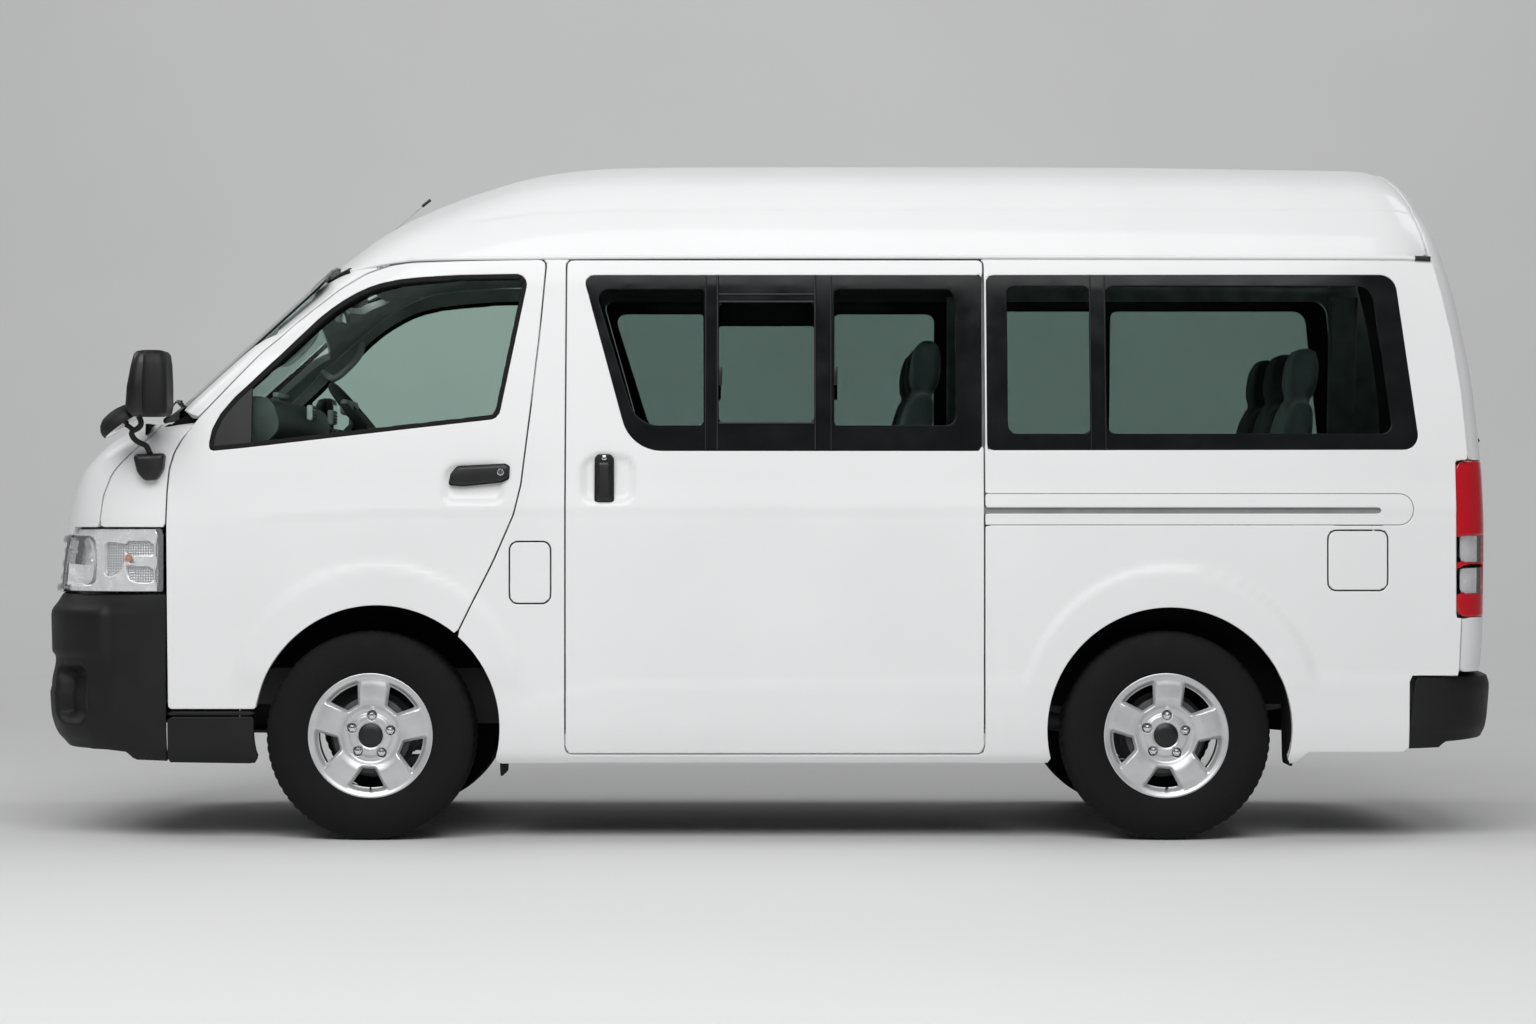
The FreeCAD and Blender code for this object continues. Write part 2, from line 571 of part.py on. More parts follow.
# ---------------------------------------------------------------- tail
TAIL_FACE = [  # side view of the rear face in the middle
    (R + 500, HEIGHT + 10), (R + 830, HEIGHT - 40, 60), (R + 929, 2010, 400), (R + 1010, 1620, 600),
    (R + 1069, 1227, 400), (R + 1086, 900, 200), (R + 1080, 545), (R + 500, 545),
]
TAIL_PLAN = [  # x, inset from the side, radius
    (R + 500, 4), (R + 1000, 4, 0), (R + 1052, 90, 80), (R + 1088, 847.5, 2600),
]
TAIL_WALL = 50.0
LAMP_BOX = (722, 1228)  # tail lamp heights
TAIL_LAMP_X = R + 933
TAIL_LAMP_INNER = 640.0
TAIL_GLASS = [(-610, 1225, 60), (610, 1225, 60), (560, 1790, 60), (-560, 1790, 60)]  # y, z, radius
PLATE_HOLES = 210.0  # between the two screws of a number plate
PLATE_HOLE_R = 3.5
PLATE_Z = 940.0


def tail_form(depth):
    low = along([(-(HALF - inset - depth), z) for inset, z in SIDE_SECTION]
                + [(HALF - inset - depth, z) for inset, z in reversed(SIDE_SECTION)], R + 500, TAIL)
    top = between(roof_form(depth), x0=R + 500)
    side = across(TAIL_FACE, -HALF, HALF, -depth)
    plan_left = [(x, -(HALF - inset), *rest) for x, inset, *rest in TAIL_PLAN[:-1]]
    plan = [*plan_left, (R + 1088, 0, 2600), *[(x, -y, *rest) for x, y, *rest in reversed(plan_left)]]
    return low.fuse(top).common(side).common(upright(plan, 400, HEIGHT + 50, -depth))


def tail_parts():
    outer, inner = tail_form(0.0), tail_form(TAIL_WALL)
    skin = outer.cut(tail_form(GLASS))
    shell = outer.cut(inner.fuse(box(R + 400, R + 940, -HALF + 120, HALF - 120, 560, 1800)))
    region = [*TAIL_LINE, (R + 1400, 539), (R + 1400, HEIGHT + 20)]
    gate = shell.common(across(region, -HALF, HALF))
    gate = between(gate, z0=552)
    z0, z1 = LAMP_BOX[0] - 24, LAMP_BOX[1] + GAP
    lamp_bite = box(TAIL_LAMP_X - 10, TAIL + 50, -HALF, -TAIL_LAMP_INNER + GAP, z0, z1)
    gate = gate.cut(lamp_bite).cut(mirrored(lamp_bite))
    window = along(TAIL_GLASS, R + 500, TAIL + 50)
    glass = between(skin.common(window), x0=R + 880)
    gate = gate.cut(glass).cut(along(TAIL_GLASS, R + 500, TAIL + 50, -40))
    edge = TAIL_HINGE[0] - HINGE_SET
    wedge = [(edge - 60, 2160), (edge - 60, 2300), (edge + 70, 2300), (edge + SKIN + 1, 2219)]
    bevel = across(wedge, -HALF, HALF)
    gate = gate.cut(bevel)
    for y in TAIL_HINGES_Y:
        pocket, pin, _ = tail_hinge(y)
        gate = gate.cut(pocket).fuse(pin)
    plate_pad = box(R + 1000, R + 1096, -190, 190, 880, 1000).cut(tail_form(GLASS))
    gate = joined(gate, plate_pad)
    for y in (-PLATE_HOLES / 2, PLATE_HOLES / 2):
        gate = gate.cut(rod((R + 1076, y, PLATE_Z), (R + 1100, y, PLATE_Z), PLATE_HOLE_R))
    lamp = outer.cut(tail_form(TAIL_WALL + 20)).common(
        box(TAIL_LAMP_X, TAIL, -HALF, -TAIL_LAMP_INNER, *LAMP_BOX))
    return {"tailgate": gate, "tailgate_glass": glass, "tail_lamps": pair(lamp)}


# ---------------------------------------------------------------- bumpers and trims
BUMPER_WALL = 60.0
REAR_BUMPER_WALL = 55.0


def front_bumper():
    """The wrap-round bumper with its number-plate pad."""
    def solid(depth):
        foot, top = 252, LAMP_BOTTOM - 3
        plan = upright(nose_plan(BUMPER_CORNERS, BUMPER_MIDDLE), foot, top, -depth)
        if depth:
            edge = HALF - 2 - depth
            plan = plan.fuse(box(F - 700 - depth, F - 600, -edge, edge, foot, top))
        face = across([
            (NOSE + 100, top), (NOSE + 25, 740, 40), (NOSE + 12, 520), (NOSE, 492, 10), (NOSE, 400, 30),
            (NOSE + 70, 290, 60), (NOSE + 200, 262, 200), (F - 658, 250), (F - 600, 250), (F - 600, top)],
            -HALF, HALF)
        return plan.common(face)
    shell = solid(0).cut(solid(BUMPER_WALL))
    shell = between(shell, x1=F - 660)
    shell = joined(shell, box(NOSE + 2, NOSE + 75, -180, 180, 560, 690))
    for y in (-PLATE_HOLES / 2, PLATE_HOLES / 2):
        shell = shell.cut(rod((NOSE - 5, y, 625), (NOSE + 30, y, 625), PLATE_HOLE_R))
    return shell


def corner_trims():
    """The black panel below the front door, ahead of the wheel."""
    strip = side_wall(2, 40).common(across([
        (F - 660, 252), (F - 390, 248), (F - 380, 415), (F - 660, 415)], -HALF - 50, 0))
    return pair(strip.cut(arch(F, ARCH_AFT, ARCH_R + 4, -HALF - 50, 0)))


def rear_bumper():
    def solid(depth):
        left = [(R + 770, -(HALF - 4)), (R + 1040, -(HALF - 4), 60), (TAIL, -(HALF - 260), 240)]
        plan = [*left, *[(x, -y, *rest) for x, y, *rest in reversed(left)]]
        return upright(plan, 288, 538, -depth)
    shell = between(solid(0), x0=R + 806).cut(solid(REAR_BUMPER_WALL))
    shell = shell.cut(box(R + 700, R + 1030, -HALF + 60, HALF - 60, 280, 540))
    lower = across([(R + 700, 280), (TAIL + 10, 280), (TAIL + 10, 340), (R + 1090, 296)], -HALF, HALF)
    return shell.cut(lower)


# ---------------------------------------------------------------- floor, frame and running gear
RAIL_Y = (350.0, 420.0)
RAIL_Z = (420.0, FLOOR_Z - FLOOR_WALL)
SPRING_Y = (430.0, 490.0)
SPRING_REACH = 600.0  # from the rear axle to each eye of its springs
KNUCKLE_HALF = 92.0
BALL_R = 18.0
TOW_EYE_R = 22.0
TOW_EYE_WALL = 16.0
TOW_EYE_Z = 330.0
TOW_PLATE = 24.0


def floor_panel():
    edge = HALF - 4.5 - WALL
    inner_edge = HALF - WALL - RAIL_DEPTH - 12
    under = FLOOR_Z - FLOOR_WALL
    front_x, rear_x = F - 420, F + 458
    plates = joined(
        box(F - 828 + 22, front_x, -edge + 14, edge - 14, under, FLOOR_Z),
        box(front_x - 20, front_x, -edge + 14, edge - 14, under, PLATFORM_Z),
        box(front_x - 20, rear_x, -edge, edge, PLATFORM_Z - PLATFORM_WALL, PLATFORM_Z),
        box(rear_x - 20, rear_x, -edge, edge, under, PLATFORM_Z),
        box(rear_x - 20, R + 940, -inner_edge, inner_edge, under, FLOOR_Z),
        box(rear_x - 20, R + 935, -edge, edge, under, FLOOR_Z),
    )
    radius = ARCH_R + LINER_GAP + LINER_WALL
    for side in (-1, 1):
        y0, y1 = sorted((side * REAR_LINER_Y, side * HALF))
        plates = plates.cut(arch(R, REAR_ARCH_AFT, radius, y0, y1))
    return plates


def wheel_housings():
    """Curved liners over the wheels, each closed on its inner side."""
    pieces = []
    # axle, arch offset, inner wall's distance from the middle, top of the liner's legs
    for axle, aft, inner_y in ((F, ARCH_AFT, FRONT_LINER_Y), (R, REAR_ARCH_AFT, REAR_LINER_Y)):
        radius = ARCH_R + LINER_GAP
        y_out, y_in = -(HALF - 4.5 - WALL), -inner_y
        outer = arch(axle, aft, radius + LINER_WALL, y_out, y_in)
        hollow = arch(axle, aft, radius, y_out - 10, y_in - LINER_WALL)
        shell = between(outer.cut(hollow), z0=FLOOR_Z - FLOOR_WALL + 2 if axle == F else 430)
        pieces += shell.Solids
    return pair(Part.makeCompound(pieces))


def frame():
    """Two long rails and the cross members between them."""
    rail = box(NOSE + BUMPER_WALL, TAIL - REAR_BUMPER_WALL, -RAIL_Y[1], -RAIL_Y[0], *RAIL_Z)
    pieces = pair(rail).Solids
    # x of each cross member's middle, half its length
    for x, half in ((F - 760, 40), (F + 520, 30), (R - 700, 30), (R + 560, 30), (R + 900, 30)):
        pieces.append(box(x - half, x + half, -RAIL_Y[0], RAIL_Y[0], RAIL_Z[0] + 20, RAIL_Z[1]))
    return Part.makeCompound(pieces)


def tow_eyes():
    y = -(RAIL_Y[0] + RAIL_Y[1]) / 2
    return Part.makeCompound([tow_eye(F - 775, y), tow_eye(R + 900, y)])


def tow_eye(x, y):
    """A hanging eye for a shackle, its hole across the vehicle."""
    lobe = rod((x, y - TOW_PLATE / 2, TOW_EYE_Z), (x, y + TOW_PLATE / 2, TOW_EYE_Z), TOW_EYE_R + TOW_EYE_WALL)
    reach = TOW_EYE_R + TOW_EYE_WALL
    stem = box(x - reach, x + reach, y - TOW_PLATE / 2, y + TOW_PLATE / 2, TOW_EYE_Z, RAIL_Z[0])
    hole = rod((x, y - TOW_PLATE, TOW_EYE_Z), (x, y + TOW_PLATE, TOW_EYE_Z), TOW_EYE_R)
    return joined(lobe, stem).cut(hole)


def front_suspension():
    """Cross member with a lower and an upper arm to each knuckle."""
    king = TRACK / 2 - KINGPIN_INSET
    beam = box(F - 70, F + 70, -340, 340, 250, RAIL_Z[0])
    beam = beam.cut(box(F - 80, F + 80, -260, 260, 300, RAIL_Z[0] + 5))
    whole = beam
    low_top, high_foot = TYRE_R - KNUCKLE_HALF - STEER_GAP, TYRE_R + KNUCKLE_HALF + STEER_GAP
    for side in (-1, 1):
        # Arm: height range, width at the frame, width at the ball joint.
        for z0, z1, wide in ((low_top - 26, low_top, 120), (high_foot, high_foot + 22, 80)):
            root = side * 300
            tip = side * (king + BALL_R)
            plan = [(F - wide, root), (F + wide, root)]
            plan += [(F + BALL_R, tip, BALL_R - 1), (F - BALL_R, tip, BALL_R - 1)]
            whole = whole.fuse(upright(plan, z0, z1))
        y0, y1 = sorted((side * 300, side * RAIL_Y[0]))
        tower_top = max(high_foot + 22, RAIL_Z[0] + 30)
        tower = box(F - 60, F + 60, y0, y1, low_top - 26, tower_top)
        whole = whole.fuse(tower)
    return whole.removeSplitter()


def knuckle(side):
    king = side * (TRACK / 2 - KINGPIN_INSET)
    post = rod((F, king, TYRE_R - KNUCKLE_HALF), (F, king, TYRE_R + KNUCKLE_HALF), 30)
    spindle = rod((F, king, TYRE_R), (F, side * (TRACK / 2 + 62), TYRE_R), SPINDLE_R)
    shield = rod((F, side * (TRACK / 2 - 34), TYRE_R), (F, side * (TRACK / 2 - 30), TYRE_R), 140)
    boss = rod((F, king, TYRE_R), (F, side * (TRACK / 2 - 26), TYRE_R), 46)
    y0, y1 = sorted((king, king - side * 20))
    arm = box(F + 10, F + 130, y0, y1, TYRE_R - 60, TYRE_R - 40)
    return joined(post, spindle, shield, boss, arm)


def tyre(x, side):
    """Revolved about the wheel's axis: tread, shoulders and sidewalls."""
    bead = RIM_R - 6
    half = TYRE_W / 2
    profile = [
        (-RIM_W / 2 + 12, bead), (-half, bead + 46, 26), (-half + 3, TYRE_R - 22, 20),
        (-half + 18, TYRE_R, 12), (half - 18, TYRE_R, 12), (half - 3, TYRE_R - 22, 20),
        (half, bead + 46, 26), (RIM_W / 2 - 12, bead),
    ]
    return turned(profile, x, side * TRACK / 2)


def turned(profile, x, y):
    """A solid of revolution from (distance along the axle, radius) corners."""
    wire = outline(profile, lambda a, b: Vector(x, y + a, TYRE_R + b))
    return Part.Face(wire).revolve(Vector(x, y, TYRE_R), Vector(0, 1, 0), 360)


def rim(x, side):
    """Barrel, dished disc with five windows, hub sleeve, brake disc and centre cap."""
    s = side
    half = RIM_W / 2
    bore = SPINDLE_R + SPINDLE_CLEARANCE
    bead = RIM_R - 6.2
    barrel = turned([
        (-half, RIM_R - 16), (-half, RIM_R), (-half + 8, RIM_R), (-half + 12, bead), (half - 12, bead),
        (half - 8, RIM_R), (half, RIM_R), (half, RIM_R - 16), (half - 14, bead - 10),
        (-half + 14, bead - 10)],
        x, s * TRACK / 2)
    disc = turned([
        (s * 60, bore), (s * 60, 80), (s * 66, 150), (s * 70, bead - 6), (s * 52, bead - 6), (s * 44, 150),
        (s * 34, 80), (s * 12, HUB_R), (s * 12, 128), (s * -10, 128), (s * -10, HUB_R), (s * -20, HUB_R),
        (s * -20, bore)],
        x, s * TRACK / 2)
    cap = turned([(s * 60, 0.001), (s * 60, 36), (s * 82, 36, 4), (s * 84, 0.001)], x, s * TRACK / 2)
    cap = cap.cut(rod((x, s * TRACK / 2, TYRE_R), (x, s * (TRACK / 2 + 64), TYRE_R), bore))
    y0, y1 = sorted((s * (TRACK / 2 + 30), s * (TRACK / 2 + 90)))
    for i in range(5):
        angle = 36 + 72 * i
        window = across([(-44, 112, 14), (44, 112, 14), (62, 172, 14), (-62, 172, 14)], y0, y1)
        window.rotate(Vector(0, 0, 0), Vector(0, 1, 0), angle)
        window.translate(Vector(x, 0, TYRE_R))
        disc = disc.cut(window)
    return joined(barrel, disc, cap)


def rear_axle():
    """Live axle: tube, differential, spindles, propeller shaft, and a leaf spring on each side."""
    tube_end, spindle_end = TRACK / 2 - 30, TRACK / 2 + 62
    whole = rod((R, -tube_end, TYRE_R), (R, tube_end, TYRE_R), 42)
    whole = whole.fuse(rod((R, -spindle_end, TYRE_R), (R, spindle_end, TYRE_R), SPINDLE_R))
    whole = whole.fuse(rod((R, -90, TYRE_R), (R, 90, TYRE_R), 140))
    whole = whole.fuse(rod((R - 230, 0, TYRE_R), (R, 0, TYRE_R), 60))
    whole = whole.fuse(rod((F + 470, 0, 500), (R - 220, 0, TYRE_R), 38))
    for side in (-1, 1):
        whole = whole.fuse(rod((R, side * (TRACK / 2 - 34), TYRE_R), (R, side * tube_end, TYRE_R), 140))
        for part in rear_spring(*sorted((side * SPRING_Y[0], side * SPRING_Y[1]))):
            whole = whole.fuse(part)
    return whole.removeSplitter()


def rear_spring(y0, y1):
    """A leaf spring on the axle, with its clamp, its two eyes and their hangers up to the frame."""
    top, foot, eye_z = TYRE_R + 118, TYRE_R + 102, TYRE_R + 110
    leaf = across([
        (R - SPRING_REACH, foot), (R - SPRING_REACH, top), (R, TYRE_R + 34, 900), (R + SPRING_REACH, top),
        (R + SPRING_REACH, foot), (R, TYRE_R + 2, 900)], y0, y1)
    parts = [leaf, box(R - 160, R + 160, y0, y1, TYRE_R + 24, TYRE_R + 58)]
    for x in (R - SPRING_REACH, R + SPRING_REACH):
        parts.append(rod((x, y0, eye_z), (x, y1, eye_z), 24))
        parts.append(box(x - 20, x + 20, y0, y1, eye_z, RAIL_Z[1]))
    return parts


def exhaust():
    """Pipe along the right rail, with its silencer and tail pipe."""
    y, tail_y = 220.0, 292.0
    silencer = rod((R - 900, y, 400), (R - 420, y, 400), 90)
    pipe = rod((F + 200, y, 380), (R - 880, y, 400), 28)
    tail = rod((R - 440, y, 400), (R - 200, tail_y, 470), 28)
    over = rod((R - 205, tail_y, 470), (R + 260, tail_y, 490), 26)
    end = rod((R + 250, tail_y, 490), (R + 1010, tail_y, 330), 26)
    return joined(silencer, pipe, tail, over, end)


def fuel_tank():
    """The tank and the two straps that hang it from the floor."""
    tank = across([(F + 640, 300, 30), (F + 1400, 300, 30), (F + 1400, 470, 30), (F + 640, 470, 30)], -340, -60)
    straps = [box(x, x + 40, -330, -70, 465, RAIL_Z[1]) for x in (F + 700, F + 1300)]
    return joined(tank, *straps)


def spare_wheel():
    x, y, z = R + 700, -40.0, 320.0
    top = RAIL_Z[0] + 20
    disc = Part.makeCylinder(300, top - z, Vector(x, y, z))
    return disc.cut(Part.makeCylinder(170, 60, Vector(x, y, z - 5))).removeSplitter()


def engine():
    block = box(F - 330, F + 400, -230, 190, 345, 740)
    mounts = box(F - 300, F - 260, -RAIL_Y[0], RAIL_Y[0], 430, 470)
    rear = box(F + 300, F + 340, -RAIL_Y[0], RAIL_Y[0], 430, 470)
    return block.fuse(mounts).fuse(rear).removeSplitter()


# ---------------------------------------------------------------- cab and cabin
FRONT_SEAT_W = 490.0
SEAT_LEAN = 0.2
ROW_PLAY = 141.5  # from the widest body to the outer seats of a row
ROW_SEATS = 3
ROW_SEAT_W = (2 * (HALF - ROW_PLAY) + 4) / ROW_SEATS
ROW_PITCH = ROW_SEAT_W - 2
STAND_EDGE = REAR_LINER_Y - LINER_WALL - 20  # the seats' stands end between the wheel housings
STEER_Y = 370.0
STEER_X, STEER_Z = F - 146, 1366.0
STEER_R = 195.0
STEER_TILT = 50.6  # of the wheel's plane from level


def dashboard():
    top = across([
        (F - 810, 960, 30), (F - 810, 1242), (F - 690, 1242), (F - 617, 1298), (F - 557, 1338),
        (F - 557, 1425, 40), (F - 330, 1440, 60), (F - 300, 1330, 50), (F - 400, 1240), (F - 440, 960, 40)],
        -(HALF - 112), HALF - 112)
    top = top.cut(ahead_of_windscreen(GLASS + 12))
    way = Vector(-math.sin(math.radians(STEER_TILT)), 0, -math.cos(math.radians(STEER_TILT)))
    hub = Vector(STEER_X, STEER_Y, STEER_Z)
    column = Part.makeCylinder(38, 330, hub + way * 75, way)
    return joined(top, column)


def steering_wheel():
    ring = Part.makeTorus(STEER_R - 15, 15)
    hub = Part.makeCylinder(60, 40, Vector(0, 0, -20))
    shaft = Part.makeCylinder(15, 54.5, Vector(0, 0, -74.5))
    spokes = [box(-STEER_R + 16, STEER_R - 16, -18, 18, -8, 8), box(-18, 18, -STEER_R + 16, 0, -8, 8)]
    wheel = joined(ring, hub, shaft, *spokes)
    wheel.rotate(Vector(0, 0, 0), Vector(0, 0, 1), -90)
    wheel.rotate(Vector(0, 0, 0), Vector(0, 1, 0), STEER_TILT)
    wheel.translate(Vector(STEER_X, STEER_Y, STEER_Z))
    return wheel


def seat_side(front, foot_z, cushion_z, back_top, head_top):
    """Side views of one seat: its stand, cushion, back and headrest, from its front edge backwards."""
    hip = front + 470
    lean_x = SEAT_LEAN * (back_top - cushion_z)
    stand_z = cushion_z - 110
    stand = [(front + 60, foot_z), (hip + 40, foot_z), (hip + 40, stand_z), (front + 60, stand_z)]
    cushion = [
        (front, cushion_z - 115, 30), (hip + 90, cushion_z - 115, 30), (hip + 90, cushion_z, 30),
        (front, cushion_z, 50)]
    back = [
        (hip, cushion_z - 60, 20), (hip + 130, cushion_z - 60, 30), (hip + 105 + lean_x, back_top, 40),
        (hip + lean_x + 5, back_top, 40)]
    head_x = hip + lean_x + 5
    head = [
        (head_x - 4, back_top + 18, 25), (head_x + 94, back_top + 18, 25), (head_x + 104, head_top, 40),
        (head_x + 14, head_top, 40)]
    post = [
        (head_x + 38, back_top - 30), (head_x + 54, back_top - 30), (head_x + 56, back_top + 40),
        (head_x + 40, back_top + 40)]
    return stand, cushion, back, head, post


def seat(views, y, width):
    stand, cushion, back, head, post = views
    y0, y1 = y - width / 2, y + width / 2
    stand_y0, stand_y1 = max(y0 + 40, -STAND_EDGE), min(y1 - 40, STAND_EDGE)
    parts = [across(stand, stand_y0, stand_y1), across(cushion, y0, y1), across(back, y0 + 6, y1 - 6),
             across(head, y - 130, y + 130)]
    for side in (-70, 60):
        parts.append(across(post, y + side, y + side + 10))
    return joined(*parts)


def front_seats():
    views = seat_side(F - 60, PLATFORM_Z, PLATFORM_Z + 182, PLATFORM_Z + 622, PLATFORM_Z + 802)
    left, right = (seat(views, y, FRONT_SEAT_W) for y in (-STEER_Y, STEER_Y))
    return Part.makeCompound([*left.Solids, *right.Solids])


def bench(front, back_top, head_top):
    """A row of seats across the cabin."""
    views = seat_side(front, FLOOR_Z, FLOOR_Z + 420, back_top, head_top)
    left_y = -ROW_PITCH * (ROW_SEATS - 1) / 2
    return joined(*[seat(views, left_y + ROW_PITCH * place, ROW_SEAT_W) for place in range(ROW_SEATS)])


# ---------------------------------------------------------------- mirrors, wipers and aerial
def fender_mirror():
    """Left fender: a foot, a cranked stem, the main mirror and a round lower mirror."""
    foot_y = -(HALF - 16)
    foot = across([
        (F - 762, 1238, 10), (F - 668, 1240, 10), (F - 676, 1170, 20), (F - 700, 1152, 20),
        (F - 735, 1155, 20)],
        foot_y, foot_y - 46)
    route = [(F - 700, -(HALF + 10), 1232), (F - 716, -(HALF + 30), 1262), (F - 752, -(HALF + 62), 1294),
             (F - 756, -(HALF + 84), 1330), (F - 738, -(HALF + 90), 1372)]
    stem = rod(route[0], route[1], 10)
    for start, end in zip(route[1:], route[2:]):
        stem = stem.fuse(rod(start, end, 10)).fuse(Part.makeSphere(10, Vector(*start)))
    head = across([
        (F - 760, 1370, 26), (F - 640, 1376, 26), (F - 632, 1470), (F - 644, 1574, 26), (F - 724, 1576, 30),
        (F - 760, 1470)], -MIRROR_EDGE, -HALF - 10)
    small = Part.makeCylinder(78, 40, Vector(0, 0, 0))
    small.rotate(Vector(0, 0, 0), Vector(0, 1, 0), -35)
    small.translate(Vector(F - 800, -(HALF + 75), 1328))
    return joined(foot, stem, head, small)


def door_mirror():
    """Right door: a housing on a short foot at the window's front corner."""
    head = across([
        (F - 390, 1250, 20), (F - 320, 1250, 20), (F - 318, 1480, 20), (F - 366, 1480, 24), (F - 392, 1400)],
        HALF + 12, MIRROR_EDGE)
    foot = box(F - 385, F - 330, HALF - 90, HALF + 20, 1290, 1350).cut(mirrored(side_wall(PANE_DEPTH, 200)))
    return joined(head, foot)


def wipers():
    """Two arms with their blades, lying along the windscreen's foot."""
    pieces = []
    for y0, y1 in ((-560.0, -40.0), (60.0, 600.0)):
        x0 = WINDSCREEN_X + WINDSCREEN_BOW * (y0 / WINDSCREEN_HALF) ** 2
        x1 = WINDSCREEN_X + WINDSCREEN_BOW * (y1 / WINDSCREEN_HALF) ** 2
        pieces.append(rod((x0 - 11, y0, 1408), (x1 - 11, y1, 1408), 9))
    return Part.makeCompound(pieces)


def aerial():
    base_x, base_z = F - 158, 1912.0
    foot = Part.makeSphere(20, Vector(base_x, 150, base_z))
    whip = rod((base_x, 150, base_z + 10), (F + 108, 150, 2147), 3)
    return joined(foot, whip)


# ---------------------------------------------------------------- writing the pieces
WHEELS = (("front_left", F, -1), ("front_right", F, 1), ("rear_left", R, -1), ("rear_right", R, 1))
# Each piece, and the neighbours that are cut out of it so that they meet face to face.
MEETING = (
    ("aerial", ("roof",)),
    ("body_side_left", ("tail_lamps",)),
    ("body_side_right", ("tail_lamps",)),
    ("cab_front", ("body_side_left", "body_side_right", "fenders", "floor", "frame", "front_bumper",
                   "headlamps", "grille")),
    ("fender_mirror", ("fenders",)),
    ("floor", ("front_bumper", "wheel_housings")),
    ("frame", ("front_bumper", "exhaust")),
    ("front_suspension", ("frame",)),
    ("rear_axle", ("frame",)),
    ("spare_wheel", ("frame",)),
    ("wipers", ("windscreen",)),
)


def main():
    os.makedirs("parts", exist_ok=True)
    left = side_parts()
    right = {name: mirrored(shape) for name, shape in left.items()}
    nose = nose_parts()
    tail = tail_parts()
    left_side, fuel_lid, service_lid = with_lids(left["shell"])
    eyes = Part.makeCompound([left["door_eyes"], right["door_eyes"]])
    nodes = {
        "frame": frame(), "tow_eyes": tow_eyes(), "floor": floor_panel(), "wheel_housings": wheel_housings(),
        "engine": engine(),
        "body_side_left": left_side, "body_side_right": right["shell"],
        "roof": roof(), "cab_front": cab_front(nose["strip"], eyes), "windscreen": windscreen(),
        "fenders": nose["fenders"], "bonnet": nose["bonnet"], "grille": nose["grille"],
        "headlamps": nose["headlamps"], "front_bumper": front_bumper(), "corner_trims": corner_trims(),
        "front_door_left": left["door"], "front_door_right": right["door"],
        "front_door_glass_left": left["door_glass"], "front_door_glass_right": right["door_glass"],
        "sliding_door_left": left["slider"], "sliding_door_right": right["slider"],
        "sliding_door_glass": Part.makeCompound([*left["slide_glass"].Solids, *right["slide_glass"].Solids]),
        "quarter_glass": Part.makeCompound([*left["quarter_glass"].Solids, *right["quarter_glass"].Solids]),
        "fuel_lid": fuel_lid, "service_lid": service_lid,
        "tailgate": tail["tailgate"], "tailgate_glass": tail["tailgate_glass"],
        "tail_lamps": tail["tail_lamps"], "rear_bumper": rear_bumper(),
        "front_suspension": front_suspension(), "rear_axle": rear_axle(), "exhaust": exhaust(),
        "fuel_tank": fuel_tank(), "spare_wheel": spare_wheel(),
        "dashboard": dashboard(), "steering_wheel": steering_wheel(),
        "front_seats": front_seats(), "second_row_seats": bench(F + 1170, 1466, 1640),
        "rear_row_seats": bench(R - 150, 1440, 1616),
        "fender_mirror": fender_mirror(), "door_mirror": door_mirror(),
        "wipers": wipers(), "aerial": aerial(),
        "knuckle_left": knuckle(-1), "knuckle_right": knuckle(1),
    }
    for name, x, side in WHEELS:
        nodes[f"{name}_tyre"] = tyre(x, side)
        nodes[f"{name}_rim"] = rim(x, side)
    for name, neighbours in MEETING:
        for neighbour in neighbours:
            nodes[name] = nodes[name].cut(nodes[neighbour])
    for name, shape in nodes.items():
        solids = [solid for solid in shape.Solids if solid.Volume > CRUMB]
        print(name, len(solids), round(sum(s.Volume for s in solids) / 1e6, 2), "litres",
              "" if shape.isValid() else "NOT VALID")
        Part.makeCompound(solids).exportStep(f"parts/{name}.step")


main()
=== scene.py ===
"""Looks of a high-roof minibus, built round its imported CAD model.

Metres. +X is to the rear, +Y to the right and +Z up.
"""

import math

import bmesh
import bpy
import numpy as np
from mathutils import Matrix, Vector, noise


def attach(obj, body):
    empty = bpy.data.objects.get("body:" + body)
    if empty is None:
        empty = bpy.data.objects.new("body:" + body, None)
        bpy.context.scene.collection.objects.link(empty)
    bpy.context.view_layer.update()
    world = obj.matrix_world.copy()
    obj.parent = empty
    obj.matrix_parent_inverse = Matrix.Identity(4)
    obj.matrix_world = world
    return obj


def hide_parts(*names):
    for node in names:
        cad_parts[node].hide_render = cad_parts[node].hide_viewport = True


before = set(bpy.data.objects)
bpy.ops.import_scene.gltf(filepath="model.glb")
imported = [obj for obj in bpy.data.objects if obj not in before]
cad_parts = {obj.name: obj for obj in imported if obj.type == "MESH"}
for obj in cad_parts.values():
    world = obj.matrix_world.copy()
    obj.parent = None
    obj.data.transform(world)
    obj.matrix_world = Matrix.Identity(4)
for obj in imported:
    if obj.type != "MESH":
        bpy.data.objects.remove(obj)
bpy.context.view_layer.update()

# ---------------------------------------------------------------- driving sizes
SIDES = ((-1, "left"), (1, "right"))
FRONT_AXLE, REAR_AXLE = -1.284, 1.286
HALF = 0.8475  # half the body's width
GAP = 0.0026  # half the gap between two panels
ARCH_R = 0.395
FRONT_ARCH, REAR_ARCH = (-1.26, 0.364), (1.295, 0.358)  # centres of the wheel openings, x and z
FRONT_FLARE, REAR_FLARE = (-1.257, 0.415), (1.298, 0.406)  # centres of the raised rings round them
FLARE_R = 0.488
FLARE_H = 0.01
SIDE_STEP, NOSE_STEP, TAIL_STEP, TOP_STEP = 0.0132, 0.016, 0.021, 0.047  # spacing of the sheets' points
